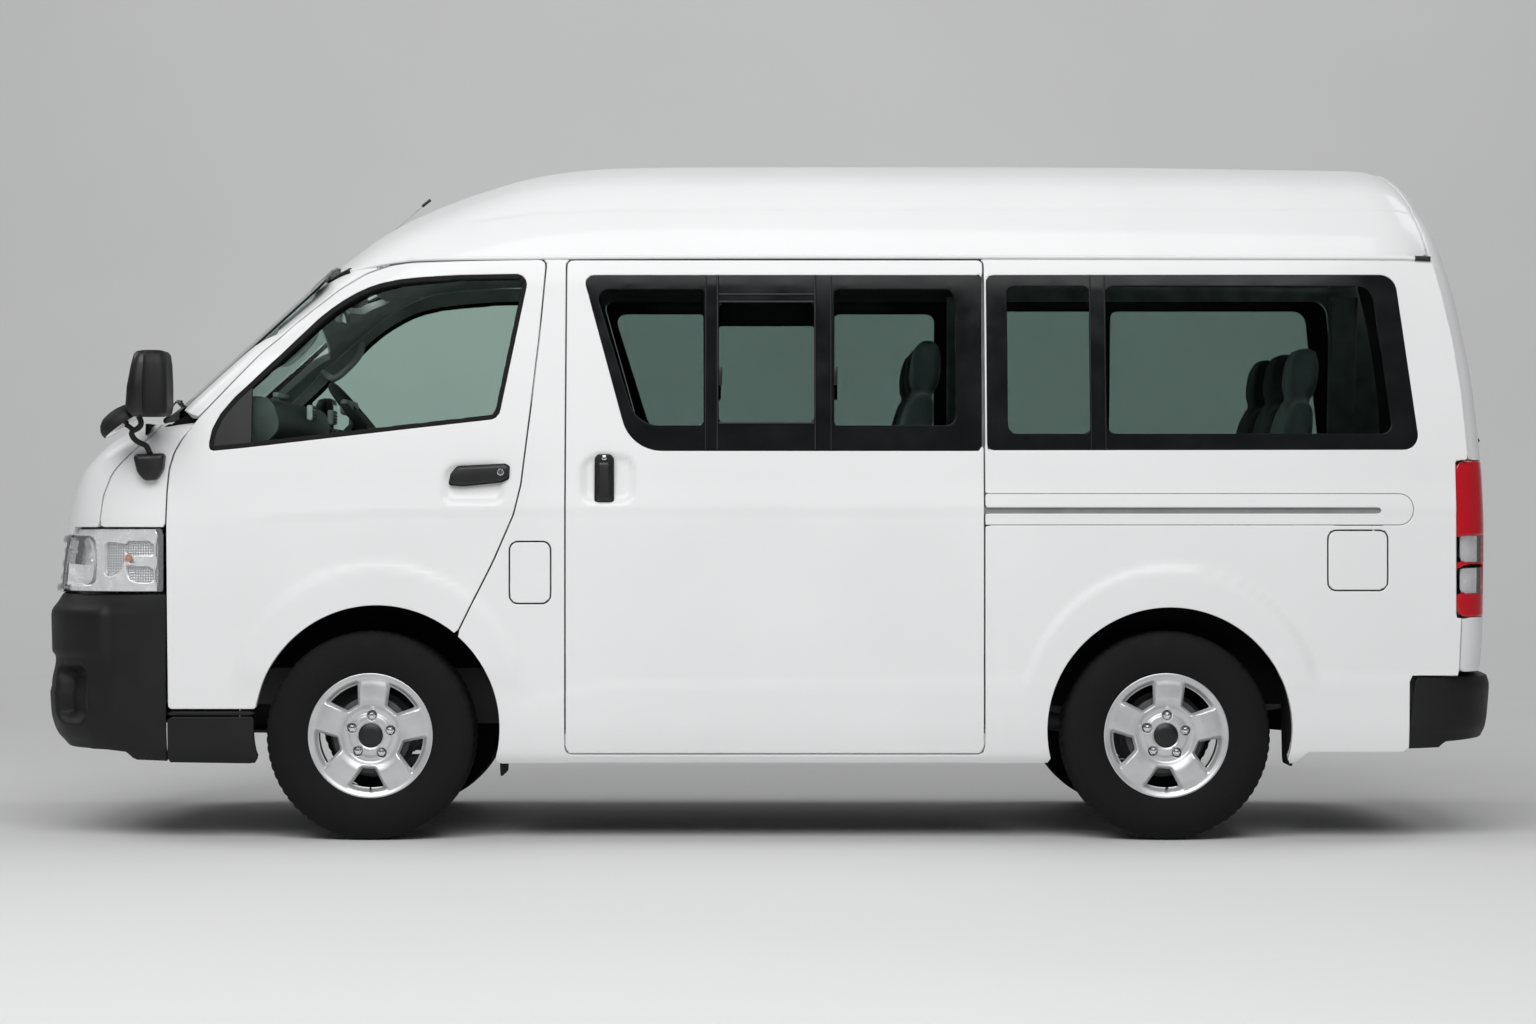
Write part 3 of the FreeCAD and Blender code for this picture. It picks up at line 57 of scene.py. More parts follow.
BUMPER_STEP, PANE_STEP, SCREEN_STEP = 0.011, 0.03, 0.02
NOSE_CENTRE, TAIL_CENTRE = -1.6, 1.75  # where the rays of the two ends start
SKIN = 0.03  # depth of the painted panels at their gaps
NOSE_SKIN = 0.022
PANE = 0.005  # thickness of clear and tinted glass
BAND = 0.006  # thickness of the black borders round the glass
SCREEN_X, SCREEN_Z, SCREEN_SLOPE, SCREEN_BOW = -2.017, 1.392, 0.911, 0.2245
SCREEN_HALF = 0.702
# how far each face falls back towards its sides, times y squared
NOSE_BOW, ROOF_BOW, TAIL_BOW, FRONT_BUMPER_BOW, REAR_BUMPER_BOW = 0.15, 0.27, 0.133, 0.13, 0.1
# reach of the rounding between two faces
ROOF_EDGE, SCREEN_EDGE, FRONT_BUMPER_EDGE, REAR_BUMPER_EDGE = 0.16, 0.05, 0.3, 0.24
DOOR_POST_X = -1.668  # between the front door's clear glass and its fixed corner
BUMPER_JOINT_X = -1.9405  # rear end of the front bumper
GRILLE_TOP, BONNET_FOOT = 0.982, 0.986

# height, inset of the side from the half width
SIDE_INSET = (
    (0.2, 0.06), (0.246, 0.034), (0.262, 0.021), (0.29, 0.012), (0.4, 0.006), (0.52, 0.002), (0.8, 0.0),
    (1.02, 0.0015), (1.1, 0.007), (1.2, 0.015), (1.258, 0.021), (1.34, 0.031), (1.5, 0.051), (1.7, 0.077),
    (1.828, 0.094), (1.886, 0.104), (2.056, 0.16), (2.4, 0.274),
)
# height, x of the nose in the middle
NOSE_LINE = (
    (0.1, -2.386), (0.8, -2.386), (0.9, -2.377), (0.98, -2.362), (1.041, -2.351), (1.114, -2.331),
    (1.178, -2.306), (1.217, -2.28), (1.271, -2.226), (1.315, -2.16), (1.332, -2.115), (1.345, -2.06),
    (1.356, -2.0), (1.366, -1.93), (1.4, -1.6), (1.6, 0.0),
)
# x, height of the roof in the middle
ROOF_LINE = (
    (-1.6, 1.8), (-1.462, 1.903), (-1.395, 1.946), (-1.332, 1.99), (-1.262, 2.03), (-1.199, 2.063),
    (-1.121, 2.098), (-1.062, 2.121), (-0.949, 2.163), (-0.816, 2.203), (-0.669, 2.228), (-0.51, 2.24),
    (-0.234, 2.244), (0.455, 2.2446), (1.145, 2.243), (1.662, 2.236), (2.117, 2.228), (2.3, 2.222),
    (2.6, 2.2),
)
# height, x of the tail in the middle
TAIL_LINE = (
    (0.3, 2.372), (0.533, 2.381), (0.564, 2.385), (0.674, 2.394), (0.992, 2.398), (1.165, 2.392),
    (1.247, 2.385), (1.378, 2.371), (1.489, 2.357), (1.634, 2.329), (1.759, 2.301), (1.876, 2.266),
    (1.973, 2.232), (2.063, 2.191), (2.14, 2.168), (2.4, 2.1),
)
# height, x of each bumper in the middle
FRONT_BUMPER_LINE = (
    (0.2, -2.26), (0.245, -2.3), (0.279, -2.335), (0.298, -2.35), (0.358, -2.386), (0.407, -2.398),
    (0.497, -2.402), (0.576, -2.389), (0.641, -2.39), (0.729, -2.392), (0.77, -2.378), (0.796, -2.362),
    (0.82, -2.34),
)
REAR_BUMPER_LINE = (
    (0.2, 2.34), (0.29, 2.362), (0.324, 2.374), (0.366, 2.392), (0.435, 2.4), (0.497, 2.404), (0.52, 2.398),
    (0.56, 2.38),
)
# height, inset of each bumper's ends from the half width
FRONT_BUMPER_INSET = ((0.245, 0.03), (0.3, 0.012), (0.42, 0.004), (0.55, 0.003), (0.8, 0.004))
REAR_BUMPER_INSET = ((0.28, 0.014), (0.36, 0.004), (0.55, 0.002))
AERIAL_Y = 0.15
# side views: x, z and the corner's radius
FRONT_DOOR = (
    (-1.935, 0.423, 0.01), (-1.9405, 1.012, 0), (-1.937, 1.126, 0), (-1.931, 1.197, 0), (-1.916, 1.25, 0.03),
    (-1.893, 1.292, 0), (-1.841, 1.364, 0.05), (-1.769, 1.44, 0.1), (-1.646, 1.574, 0), (-1.531, 1.679, 0.2),
    (-1.394, 1.788, 0.25), (-1.311, 1.837, 0.15), (-1.228, 1.865, 0.15), (-1.145, 1.876, 0.1),
    (-0.718, 1.882, 0.022), (-0.74, 1.634, 0), (-0.765, 1.411, 0.3), (-0.797, 1.148, 0), (-0.82, 1.052, 0.1),
    (-0.886, 0.9, 0), (-0.955, 0.763, 0), (-1.04, 0.59, 0), (-1.3, 0.5, 0), (-1.655, 0.423, 0),
)
DOOR_WINDOW = (
    (-1.803, 1.256, 0.03), (-1.804, 1.283, 0), (-1.795, 1.327, 0), (-1.77, 1.376, 0), (-1.726, 1.429, 0),
    (-1.673, 1.479, 0), (-1.54, 1.611, 0), (-1.459, 1.69, 0), (-1.418, 1.723, 0), (-1.378, 1.751, 0),
    (-1.337, 1.774, 0), (-1.297, 1.792, 0), (-1.256, 1.805, 0), (-1.2, 1.816, 0), (-1.12, 1.824, 0),
    (-1.0, 1.83, 0), (-0.774, 1.834, 0.035), (-0.87, 1.361, 0.035), (-1.171, 1.327, 0), (-1.698, 1.266, 0),
)
SLIDE_DOOR = ((-0.654, 0.279, 0.02), (-0.654, 1.88, 0.02), (0.698, 1.88, 0.02), (0.698, 0.279, 0.02))
SLIDE_BAND = (
    (-0.599, 1.828, 0.025), (-0.442, 1.258, 0.13), (0.69, 1.258, 0.015), (0.692, 1.828, 0.01),
)
PANE_FOOT, PANE_TOP = 1.34, 1.782
QUARTER_BAND = (
    (0.708, 1.26, 0.02), (0.708, 1.828, 0.02), (2.032, 1.829, 0.055), (2.103, 1.262, 0.045),
)
QUARTER_FOOT = 1.313
# where the window bars stand: the right side's sliding window lies a little wider
BARS = {"left": ((-0.207, -0.159), (0.149, 0.214), (1.04, 1.095)),
        "right": ((-0.236, -0.183), (0.172, 0.243), (1.188, 1.25))}
LIDS = (
    # CAD node, body, outline
    ("fuel_lid", "fuel_flap",
     ((-0.833, 0.765, 0.026), (-0.833, 0.965, 0.026), (-0.7, 0.965, 0.026), (-0.7, 0.765, 0.026))),
    ("service_lid", "service_flap",
     ((1.803, 0.807, 0.026), (1.803, 1.001, 0.026), (1.996, 1.001, 0.026), (1.996, 0.807, 0.026))),
)
RAIL_SLOT = ((0.699, 1.054, 0.002), (0.699, 1.075, 0.002), (1.977, 1.075, 0.01), (1.977, 1.054, 0.01))
RAIL_COVER = ((0.699, 1.018, 0.002), (0.699, 1.119, 0.002), (2.079, 1.119, 0.045), (2.079, 1.018, 0.045))
HANDLE_HOLLOWS = (
    ((-1.051, 1.086, 0.04), (-1.051, 1.218, 0.05), (-0.845, 1.218, 0.05), (-0.845, 1.086, 0.04)),
    ((-0.607, 1.085, 0.05), (-0.607, 1.246, 0.05), (-0.423, 1.246, 0.05), (-0.423, 1.085, 0.05)),
)
# x, z of the tailgate's edge in side view
GATE_EDGE = (
    (2.228, 0.45), (2.228, 0.535), (2.236, 0.722), (2.262, 1.15), (2.261, 1.225), (2.243, 1.449),
    (2.22, 1.614), (2.188, 1.765), (2.156, 1.886), (2.132, 1.989), (2.112, 2.068), (2.09, 2.12),
    (2.07, 2.169), (2.06, 2.3),
)
# x, z of the gap between bonnet and fender in side view
BONNET_EDGE = (
    (-2.168, 0.98), (-2.165, 1.012), (-2.15, 1.108), (-2.12, 1.18), (-2.1, 1.207), (-2.06, 1.247),
    (-2.01, 1.29), (-1.975, 1.33), (-1.95, 1.4),
)
# x, z of the rain gutter
GUTTER = (
    (-1.475, 1.795), (-1.444, 1.815), (-1.373, 1.847), (-1.289, 1.862), (-1.19, 1.878), (-1.001, 1.884),
    (0.0, 1.889), (1.859, 1.886), (2.16, 1.882),
)
TAIL_WINDOW = ((-0.61, 1.225, 0.06), (0.61, 1.225, 0.06), (0.56, 1.79, 0.06), (-0.56, 1.79, 0.06))
TAIL_PANE = ((-0.57, 1.265, 0.04), (0.57, 1.265, 0.04), (0.522, 1.75, 0.04), (-0.522, 1.75, 0.04))
SILL_RISE = ((1.7, 0.247), (1.74, 0.285))  # x, z of the body side's lower edge behind the rear door
LAMP_FOOT, LAMP_HEAD = 0.8, 1.009
TAIL_LAMP_Z = (0.722, 1.226)
TAIL_LAMP_X = 2.219
TAIL_LAMP_Y = 0.64
DOOR_CREASE = ((-1.76, 1.016), (-1.54, 1.034), (-1.19, 1.05), (-0.75, 1.0545), (2.3, 1.0545))
ROOF_GROOVE = ((-1.07, 1.978), (-0.97, 2.016), (-0.77, 2.043), (-0.49, 2.0525), (0.0, 2.056), (2.1, 2.056))
LOWER_CREASE = ((-0.9, 0.42), (-0.825, 0.432), (-0.64, 0.49), (-0.46, 0.512), (0.0, 0.517), (2.3, 0.53))


# ---------------------------------------------------------------- curves and outlines
def smooth_curve(points):
    """A smooth function through the points, with no overshoot."""
    xs, ys = np.array(points, float).T
    steps = np.diff(ys) / np.diff(xs)
    slopes = np.concatenate([steps[:1], np.zeros(len(xs) - 2), steps[-1:]])
    for i in range(1, len(xs) - 1):
        before, after = steps[i - 1], steps[i]
        if before * after > 0:
            slopes[i] = 2 * before * after / (before + after)
    dense_x, dense_y = [], []
    for i in range(len(xs) - 1):
        width = xs[i + 1] - xs[i]
        t = np.linspace(0, 1, 24, endpoint=False)
        dense_x.append(xs[i] + t * width)
        dense_y.append((2 * t**3 - 3 * t**2 + 1) * ys[i] + (t**3 - 2 * t**2 + t) * width * slopes[i]
                       + (-2 * t**3 + 3 * t**2) * ys[i + 1] + (t**3 - t**2) * width * slopes[i + 1])
    dense_x = np.concatenate([*dense_x, xs[-1:]])
    dense_y = np.concatenate([*dense_y, ys[-1:]])
    return lambda value: np.interp(value, dense_x, dense_y)


def line(points):
    """A straight-edged function of the second column by the first."""
    xs, ys = np.array(points, float).T
    return lambda value: np.interp(value, xs, ys)


def ramp(value, width):
    """0 below zero, 1 above the width, and a smooth rise between."""
    t = np.clip(value / width, 0, 1)
    return t * t * (3 - 2 * t)


def blended_min(a, b, k):
    """The smaller of two fields, with the corner between them rounded over about k."""
    h = np.clip(k - np.abs(a - b), 0, None) / k
    return np.minimum(a, b) - h * h * k / 4


def rounded(corners):
    """Corners of (u, v, radius) as a closed line of points."""
    points = []
    count = len(corners)
    for i, corner in enumerate(corners):
        here = np.array(corner[:2], float)
        radius = corner[2] if len(corner) > 2 else 0
        if not radius:
            points.append(here)
            continue
        back = np.array(corners[i - 1][:2]) - here
        ahead = np.array(corners[(i + 1) % count][:2]) - here
        back_len, ahead_len = np.linalg.norm(back), np.linalg.norm(ahead)
        back, ahead = back / back_len, ahead / ahead_len
        half = math.acos(np.clip(back @ ahead, -1, 1)) / 2
        if math.pi / 2 - half < 0.01:
            points.append(here)
            continue
        cut = min(radius / math.tan(half), 0.48 * back_len, 0.48 * ahead_len)
        radius = cut * math.tan(half)
        middle = here + (back + ahead) / np.linalg.norm(back + ahead) * radius / math.sin(half)
        start, end = here + back * cut - middle, here + ahead * cut - middle
        turn = math.atan2(start[0] * end[1] - start[1] * end[0], start @ end)
        for t in np.linspace(0, 1, 9):
            c, s = math.cos(turn * t), math.sin(turn * t)
            points.append(middle + np.array([c * start[0] - s * start[1], s * start[0] + c * start[1]]))
    return np.array(points)


def inside(corners, u, v):
    """Distance of each (u, v) to a closed outline, positive within it."""
    points = rounded(corners)
    best = np.full(u.shape, 1e9)
    odd = np.zeros(u.shape, bool)
    for (au, av), (bu, bv) in zip(points, np.roll(points, -1, axis=0)):
        du, dv = bu - au, bv - av
        long = du * du + dv * dv
        if long < 1e-14:
            continue
        t = np.clip(((u - au) * du + (v - av) * dv) / long, 0, 1)
        best = np.minimum(best, (u - au - t * du) ** 2 + (v - av - t * dv) ** 2)
        crosses = (av > v) != (bv > v)
        if dv:
            odd ^= crosses & (u < au + (v - av) * du / dv)
    return np.sqrt(best) * np.where(odd, 1, -1)


def side_view(corners):
    return lambda p: inside(corners, p[:, 0], p[:, 2])


def rear_view(corners):
    return lambda p: inside(corners, p[:, 1], p[:, 2])


def past(edge):
    """How far a point is to the rear of an edge given as x, z in side view."""
    xs, zs = np.array(edge, float).T
    slope = np.gradient(xs, zs)

    def distance(p):
        x = np.interp(p[:, 2], zs, xs)
        return (p[:, 0] - x) / np.sqrt(1 + np.interp(p[:, 2], zs, slope) ** 2)
    return distance


def above(edge):
    height = line(edge)
    return lambda p: p[:, 2] - height(p[:, 0])


def both(*fields):
    """The area that lies within every field."""
    return lambda p: np.minimum.reduce([field(p) for field in fields])


def off(field, gap=GAP):
    """The area outside a field, clear of it by the gap."""
    return lambda p: -field(p) - gap


def grown(field, amount):
    return lambda p: field(p) + amount


def front_of(x):
    return lambda p: x - p[:, 0]


def rear_of(x):
    return lambda p: p[:, 0] - x


def over_z(z):
    return lambda p: p[:, 2] - z


def under_z(z):
    return lambda p: z - p[:, 2]


def beyond_y(y):
    return lambda p: np.abs(p[:, 1]) - y


def within_y(y):
    return lambda p: y - np.abs(p[:, 1])


def wheel_arch(centre):
    return lambda p: ARCH_R - np.hypot(p[:, 0] - centre[0], p[:, 2] - centre[1])


# ---------------------------------------------------------------- the body's form
side_inset = smooth_curve(SIDE_INSET)
nose_x = smooth_curve(NOSE_LINE)
roof_z = smooth_curve(ROOF_LINE)
tail_x = smooth_curve(TAIL_LINE)
front_bumper_x = smooth_curve(FRONT_BUMPER_LINE)
rear_bumper_x = smooth_curve(REAR_BUMPER_LINE)


def slope_of(curve, value, step=0.004):
    return (curve(value + step) - curve(value - step)) / (2 * step)


def side_field(p):
    return HALF - side_inset(p[:, 2]) - np.abs(p[:, 1])


def screen_x(y, z):
    return SCREEN_X + (z - SCREEN_Z) / SCREEN_SLOPE + SCREEN_BOW * y * y


def screen_field(p):
    fall = 1 / SCREEN_SLOPE
    return (p[:, 0] - screen_x(p[:, 1], p[:, 2])) / math.sqrt(1 + fall * fall)


def face_field(curve, along, out, y, bow, way=1):
    """Depth behind a face that follows a curve and falls back by bow times y squared towards its sides."""
    depth = way * (curve(along) - out) - bow * y * y
    return depth / np.sqrt(1 + slope_of(curve, along) ** 2 + (2 * bow * y) ** 2)


def nose_field(p):
    """Positive within the engine compartment's form: bonnet, fenders and the face of the lamps."""
    x, y, z = p.T
    corner = np.interp(z, (1.0, 1.25), (0.3, 0.12))
    return blended_min(side_field(p), face_field(nose_x, z, x, y, NOSE_BOW, -1), corner)


def cabin_field(p):
    """Positive within the cabin: sides, roof, tail and windscreen."""
    x, y, z = p.T
    form = blended_min(side_field(p), face_field(roof_z, x, z, y, ROOF_BOW), ROOF_EDGE)
    form = blended_min(form, face_field(tail_x, z, x, y, TAIL_BOW), np.interp(z, (1.2, 1.9), (0.12, 0.16)))
    return blended_min(form, screen_field(p), SCREEN_EDGE)


def whole_field(p):
    return np.maximum(cabin_field(p), nose_field(p))


def bumper_field(p, curve, inset, bow, way, corner):
    x, y, z = p.T
    side = HALF - line(inset)(z) - np.abs(y)
    return blended_min(side, face_field(curve, z, x, y, bow, way), corner)


def front_bumper_field(p):
    return bumper_field(p, front_bumper_x, FRONT_BUMPER_INSET, FRONT_BUMPER_BOW, -1, FRONT_BUMPER_EDGE)


def rear_bumper_field(p):
    return bumper_field(p, rear_bumper_x, REAR_BUMPER_INSET, REAR_BUMPER_BOW, 1, REAR_BUMPER_EDGE)


# ---------------------------------------------------------------- sheets of the form
def cast(field, starts, ways, near, far):
    """Where rays that start inside a field leave it."""
    shape = starts.shape[:-1]
    starts, ways = starts.reshape(-1, 3), ways.reshape(-1, 3)
    low, high = np.full(len(starts), near), np.full(len(starts), far)
    for _ in range(26):
        middle = (low + high) / 2
        within = field(starts + ways * middle[:, None]) > 0
        low, high = np.where(within, middle, low), np.where(within, high, middle)
    points = starts + ways * low[:, None]
    good = (field(starts + ways * near) > 0).reshape(shape)
    return points.reshape(*shape, 3), good


class Sheet:
    """A grid of points on the form, with normals, as triangles."""

    def __init__(self, grid, good, outward):
        rows, cols = grid.shape[:2]
        normal = np.cross(np.gradient(grid, axis=0), np.gradient(grid, axis=1))
        normal /= np.linalg.norm(normal, axis=2, keepdims=True) + 1e-12
        flip = (normal * outward).sum() < 0
        if flip:
            normal = -normal
        self.points = grid.reshape(-1, 3)
        self.normals = normal.reshape(-1, 3)
        index = np.arange(rows * cols).reshape(rows, cols)
        a, b, c, d = index[:-1, :-1], index[1:, :-1], index[1:, 1:], index[:-1, 1:]
        tris = np.concatenate([np.stack(corners, -1).reshape(-1, 3) for corners in ((a, b, c), (a, c, d))])
        tris = tris[good.reshape(-1)[tris].all(axis=1)]
        self.tris = tris[:, ::-1] if flip else tris


def grid_of(u, v):
    return np.meshgrid(u, v, indexing="ij")


def spaced(low, high, step):
    return np.linspace(low, high, int(round((high - low) / step)) + 1)


def side_relief(x, z):
    """What stands proud of the plain side: wheel flares, creases and the hollows behind the handles."""
    rise = np.zeros_like(x)
    for centre in (FRONT_FLARE, REAR_FLARE):
        radius = np.hypot(x - centre[0], z - centre[1])
        rise += FLARE_H * ramp(FLARE_R - radius, 0.024) * ramp(z - 0.47, 0.1)
    over = z - line(DOOR_CREASE)(x)
    rise += 0.005 * ramp(x + 1.76, 0.3) * (ramp(over, 0.012) - ramp(over, 0.12))
    rise += 0.006 * ramp(line(LOWER_CREASE)(x) - z, 0.012) * ramp(x + 0.9, 0.12) * ramp(z - 0.28, 0.1)
    for corners in HANDLE_HOLLOWS:
        rise -= 0.013 * ramp(inside(corners, x, z), 0.02)
    return rise


def side_sheet(side, step=SIDE_STEP):
    """The left (-1) or right (+1) side from the front lamps to the tail, with coarser rows low down."""
    heights = np.concatenate([spaced(0.243, 0.93, 1.6 * step)[:-1], spaced(0.93, 1.905, step)])
    x, z = grid_of(spaced(-2.0, 2.34, step), heights)
    starts = np.stack([x, np.full_like(x, -0.3), z], -1)
    ways = np.zeros_like(starts)
    ways[..., 1] = -1
    grid, good = cast(whole_field, starts, ways, 0.0, 0.8)
    grid[..., 1] -= side_relief(x, z)
    grid[..., 1] *= -side
    return Sheet(grid, good, np.array([0, side, 0.0]))


def ray_start(way):
    return NOSE_CENTRE if way < 0 else TAIL_CENTRE


def fan_sheet(field, way, low, high, azimuths, elevations, step):
    """The nose (way -1) or tail (1): level rays from low to high, then rays tilted upwards from there."""
    flat = spaced(low, high, step)
    tilt = np.radians(spaced(0, elevations, math.degrees(step / 0.75)))[1:]
    start_z = np.concatenate([flat, np.full(len(tilt), high)])
    tilts = np.concatenate([np.zeros(len(flat)), tilt])
    turn = np.radians(spaced(-azimuths, azimuths, math.degrees(step / 0.8)))
    z, a = grid_of(start_z, turn)
    e, _ = grid_of(tilts, turn)
    starts = np.stack([np.full_like(z, ray_start(way)), np.zeros_like(z), z], -1)
    ways = np.stack([way * np.cos(e) * np.cos(a), np.cos(e) * np.sin(a), np.sin(e)], -1)
    grid, good = cast(field, starts, ways, 0.05, 2.0)
    return Sheet(grid, good, np.array([way, 0.0, 0.2]))


def roof_relief(x, z):
    """The groove along each side of the roof, with a small step above it."""
    over = z - line(ROOF_GROOVE)(x)
    fade = ramp(x + 1.0, 0.08) * ramp(2.085 - x, 0.03)
    return -fade * (0.006 * np.exp(-(over / 0.009) ** 2) + 0.004 * ramp(over, 0.012))


def roof_sheet(coarse=1):
    """The roof, with close rows across its grooves."""
    rows = np.concatenate([spaced(0, 52, 2.0)[:-1], spaced(52, 68, 0.45), spaced(68, 83, 1.5)[1:]])
    rows = np.concatenate([-rows[:0:-coarse], rows[::coarse]])
    x, a = grid_of(spaced(-1.52, 2.2, TOP_STEP * coarse), np.radians(rows))
    starts = np.stack([x, np.zeros_like(x), np.full_like(x, 1.7)], -1)
    ways = np.stack([np.zeros_like(x), np.sin(a), np.cos(a)], -1)
    grid, good = cast(cabin_field, starts, ways, 0.0, 1.2)
    grid += ways * roof_relief(x, grid[..., 2])[..., None]
    return Sheet(grid, good, np.array([0, 0, 1.0]))


def screen_sheet():
    y, z = grid_of(spaced(-0.76, 0.76, SCREEN_STEP), spaced(1.33, 1.93, SCREEN_STEP))
    grid = np.stack([screen_x(y, z), y, z], -1)
    return Sheet(grid, np.ones(y.shape, bool), np.array([-1.0, 0, 0]))


# ---------------------------------------------------------------- cutting panels out of sheets
def split(data, tris, level):
    """Cuts triangles where data's last column is at a level.

    Returns the data, the triangles above the level and those below it.
    """
    value = data[:, -1] - level
    up = value[tris] >= 0
    count = up.sum(axis=1)
    above_it, below_it = [tris[count == 3]], [tris[count == 0]]
    new, total = [], len(data)
    mixed = tris[(count == 1) | (count == 2)]
    if len(mixed):
        lone_up = count[(count == 1) | (count == 2)] == 1
        flags = value[mixed] >= 0
        lone = np.where(lone_up[:, None], flags, ~flags).argmax(axis=1)
        rows = np.arange(len(mixed))
        a, b, c = (mixed[rows, (lone + k) % 3] for k in range(3))
        pairs = np.concatenate([np.stack([a, b], 1), np.stack([a, c], 1)])
        keys = np.sort(pairs, axis=1)
        unique, back = np.unique(keys, axis=0, return_inverse=True)
        back = back.reshape(-1)
        v0, v1 = value[unique[:, 0]], value[unique[:, 1]]
        t = (v0 / (v0 - v1))[:, None]
        new = data[unique[:, 0]] * (1 - t) + data[unique[:, 1]] * t
        new[:, -1] = level
        ab, ac = total + back[: len(mixed)], total + back[len(mixed):]
        lone_tris = np.stack([a, ab, ac], 1)
        pair_tris = np.concatenate([np.stack([ab, b, c], 1), np.stack([ab, c, ac], 1)])
        twice = np.concatenate([lone_up, lone_up])
        above_it += [lone_tris[lone_up], pair_tris[~twice]]
        below_it += [lone_tris[~lone_up], pair_tris[twice]]
        data = np.concatenate([data, new])
    return data, np.concatenate(above_it), np.concatenate(below_it)


def unit(vectors):
    return vectors / (np.linalg.norm(vectors, axis=1, keepdims=True) + 1e-12)


def gradient(field, points, step=0.0008):
    parts = []
    for axis in range(3):
        shift = np.zeros(3)
        shift[axis] = step
        parts.append(field(points + shift) - field(points - shift))
    return np.stack(parts, 1)


def linked(name, data):
    made = bpy.data.objects.new(name, data)
    bpy.context.scene.collection.objects.link(made)
    return made


def make_mesh(name, points, tris, normals, materials, indices=None):
    mesh = bpy.data.meshes.new(name)
    mesh.vertices.add(len(points))
    mesh.vertices.foreach_set("co", np.ascontiguousarray(points, np.float32).ravel())
    mesh.loops.add(len(tris) * 3)
    mesh.loops.foreach_set("vertex_index", np.ascontiguousarray(tris, np.int32).ravel())
    mesh.polygons.add(len(tris))
    mesh.polygons.foreach_set("loop_start", np.arange(0, len(tris) * 3, 3, dtype=np.int32))
    if indices is not None:
        mesh.polygons.foreach_set("material_index", np.ascontiguousarray(indices, np.int32))
    mesh.update(calc_edges=True)
    mesh.polygons.foreach_set("use_smooth", np.ones(len(tris), bool))
    for material_of in materials:
        mesh.materials.append(material_of)
    mesh.normals_split_custom_set_from_vertices(np.ascontiguousarray(normals, np.float32).tolist())
    return linked(name, mesh)


def cut_panel(sheet, field, thick, roll=0.0012, ring=0.0035, sink=0.0):
    """The part of a sheet within a field, made solid, with its outer edge rolled in.

    Returns points, triangles, normals and face kinds: 0 outer, 1 inner, 2 rim.
    """
    data = np.concatenate([sheet.points, sheet.normals, field(sheet.points)[:, None]], 1)
    data, tris, _ = split(data, sheet.tris, 0.0)
    if not len(tris):
        return None
    if roll:
        data, main, edge = split(data, tris, ring)
        tris = np.concatenate([main, edge])
    used, tris = np.unique(tris, return_inverse=True)
    tris = tris.reshape(-1, 3)
    data = data[used]
    points, normals, value = data[:, :3].copy(), unit(data[:, 3:6]), data[:, 6]
    if sink:
        points -= normals * sink
    base = normals.copy()
    at_edge = value < 1e-5
    if roll and at_edge.any():
        slope = gradient(field, points[at_edge])
        n = normals[at_edge]
        slope = unit(slope - n * (slope * n).sum(1, keepdims=True))
        points[at_edge] -= n * roll
        normals[at_edge] = unit(n - 0.8 * slope)
    ends = np.concatenate([tris[:, [0, 1]], tris[:, [1, 2]], tris[:, [2, 0]]])
    keys = np.sort(ends, axis=1)
    _, first, times = np.unique(keys, axis=0, return_index=True, return_counts=True)
    border = ends[first[times == 1]]
    inner = points - base * thick
    total = len(points)
    rim_ids, border = np.unique(border, return_inverse=True)
    border = border.reshape(-1, 2)
    outer_rim, inner_rim = points[rim_ids], inner[rim_ids]
    a, b = border[:, 0], border[:, 1]
    face = unit(np.cross(inner_rim[a] - outer_rim[a], outer_rim[b] - outer_rim[a]))
    rim_normal = np.zeros_like(outer_rim)
    np.add.at(rim_normal, a, face)
    np.add.at(rim_normal, b, face)
    rim_normal = unit(rim_normal)
    o, i = 2 * total, 2 * total + len(rim_ids)
    rim = np.concatenate([np.stack([o + a, i + b, o + b], 1), np.stack([o + a, i + a, i + b], 1)])
    all_points = np.concatenate([points, inner, outer_rim, inner_rim])
    all_normals = np.concatenate([normals, -base, -rim_normal, -rim_normal])
    all_tris = np.concatenate([tris, tris[:, ::-1] + total, rim])
    kinds = np.concatenate([np.zeros(len(tris)), np.ones(len(tris)), np.full(len(rim), 2)]).astype(int)
    first, second, third = (all_points[rim[:, k]] for k in range(3))
    if len(rim) and (np.cross(second - first, third - first) * all_normals[rim[:, 0]]).sum() < 0:
        all_normals[o:] *= -1
    return all_points, all_tris, all_normals, kinds


def joined_parts(parts):
    """Several cut panels as one set of arrays."""
    moved, total = [], 0
    for points, tris, normals, kinds in (part for part in parts if part is not None):
        moved.append((points, tris + total, normals, kinds))
        total += len(points)
    return tuple(np.concatenate(arrays) for arrays in zip(*moved))


def panel(name, parts, outer, inner=None, rim=None, body="body", nodes=()):
    """A piece made of cut panels, with materials for its outside, its inside and its edges."""
    points, tris, normals, kinds = joined_parts(parts)
    materials = [outer, inner or outer, rim or outer]
    return dress(make_mesh(name, points, tris, normals, materials, kinds), body, nodes)


def cut_piece(name, sheet, areas, look, slot, thick, body="body", nodes=(), inner=None, rim=None, **cut):
    """A piece cut out of one sheet as one or more areas of the same thickness."""
    parts = [cut_panel(sheet, area, thick, **cut) for area in areas]
    return panel(name, parts, look, inner, rim, body, nodes)


def dress(piece, body="body", nodes=()):
    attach(piece, body)
    if nodes:
        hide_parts(*nodes)
    return piece


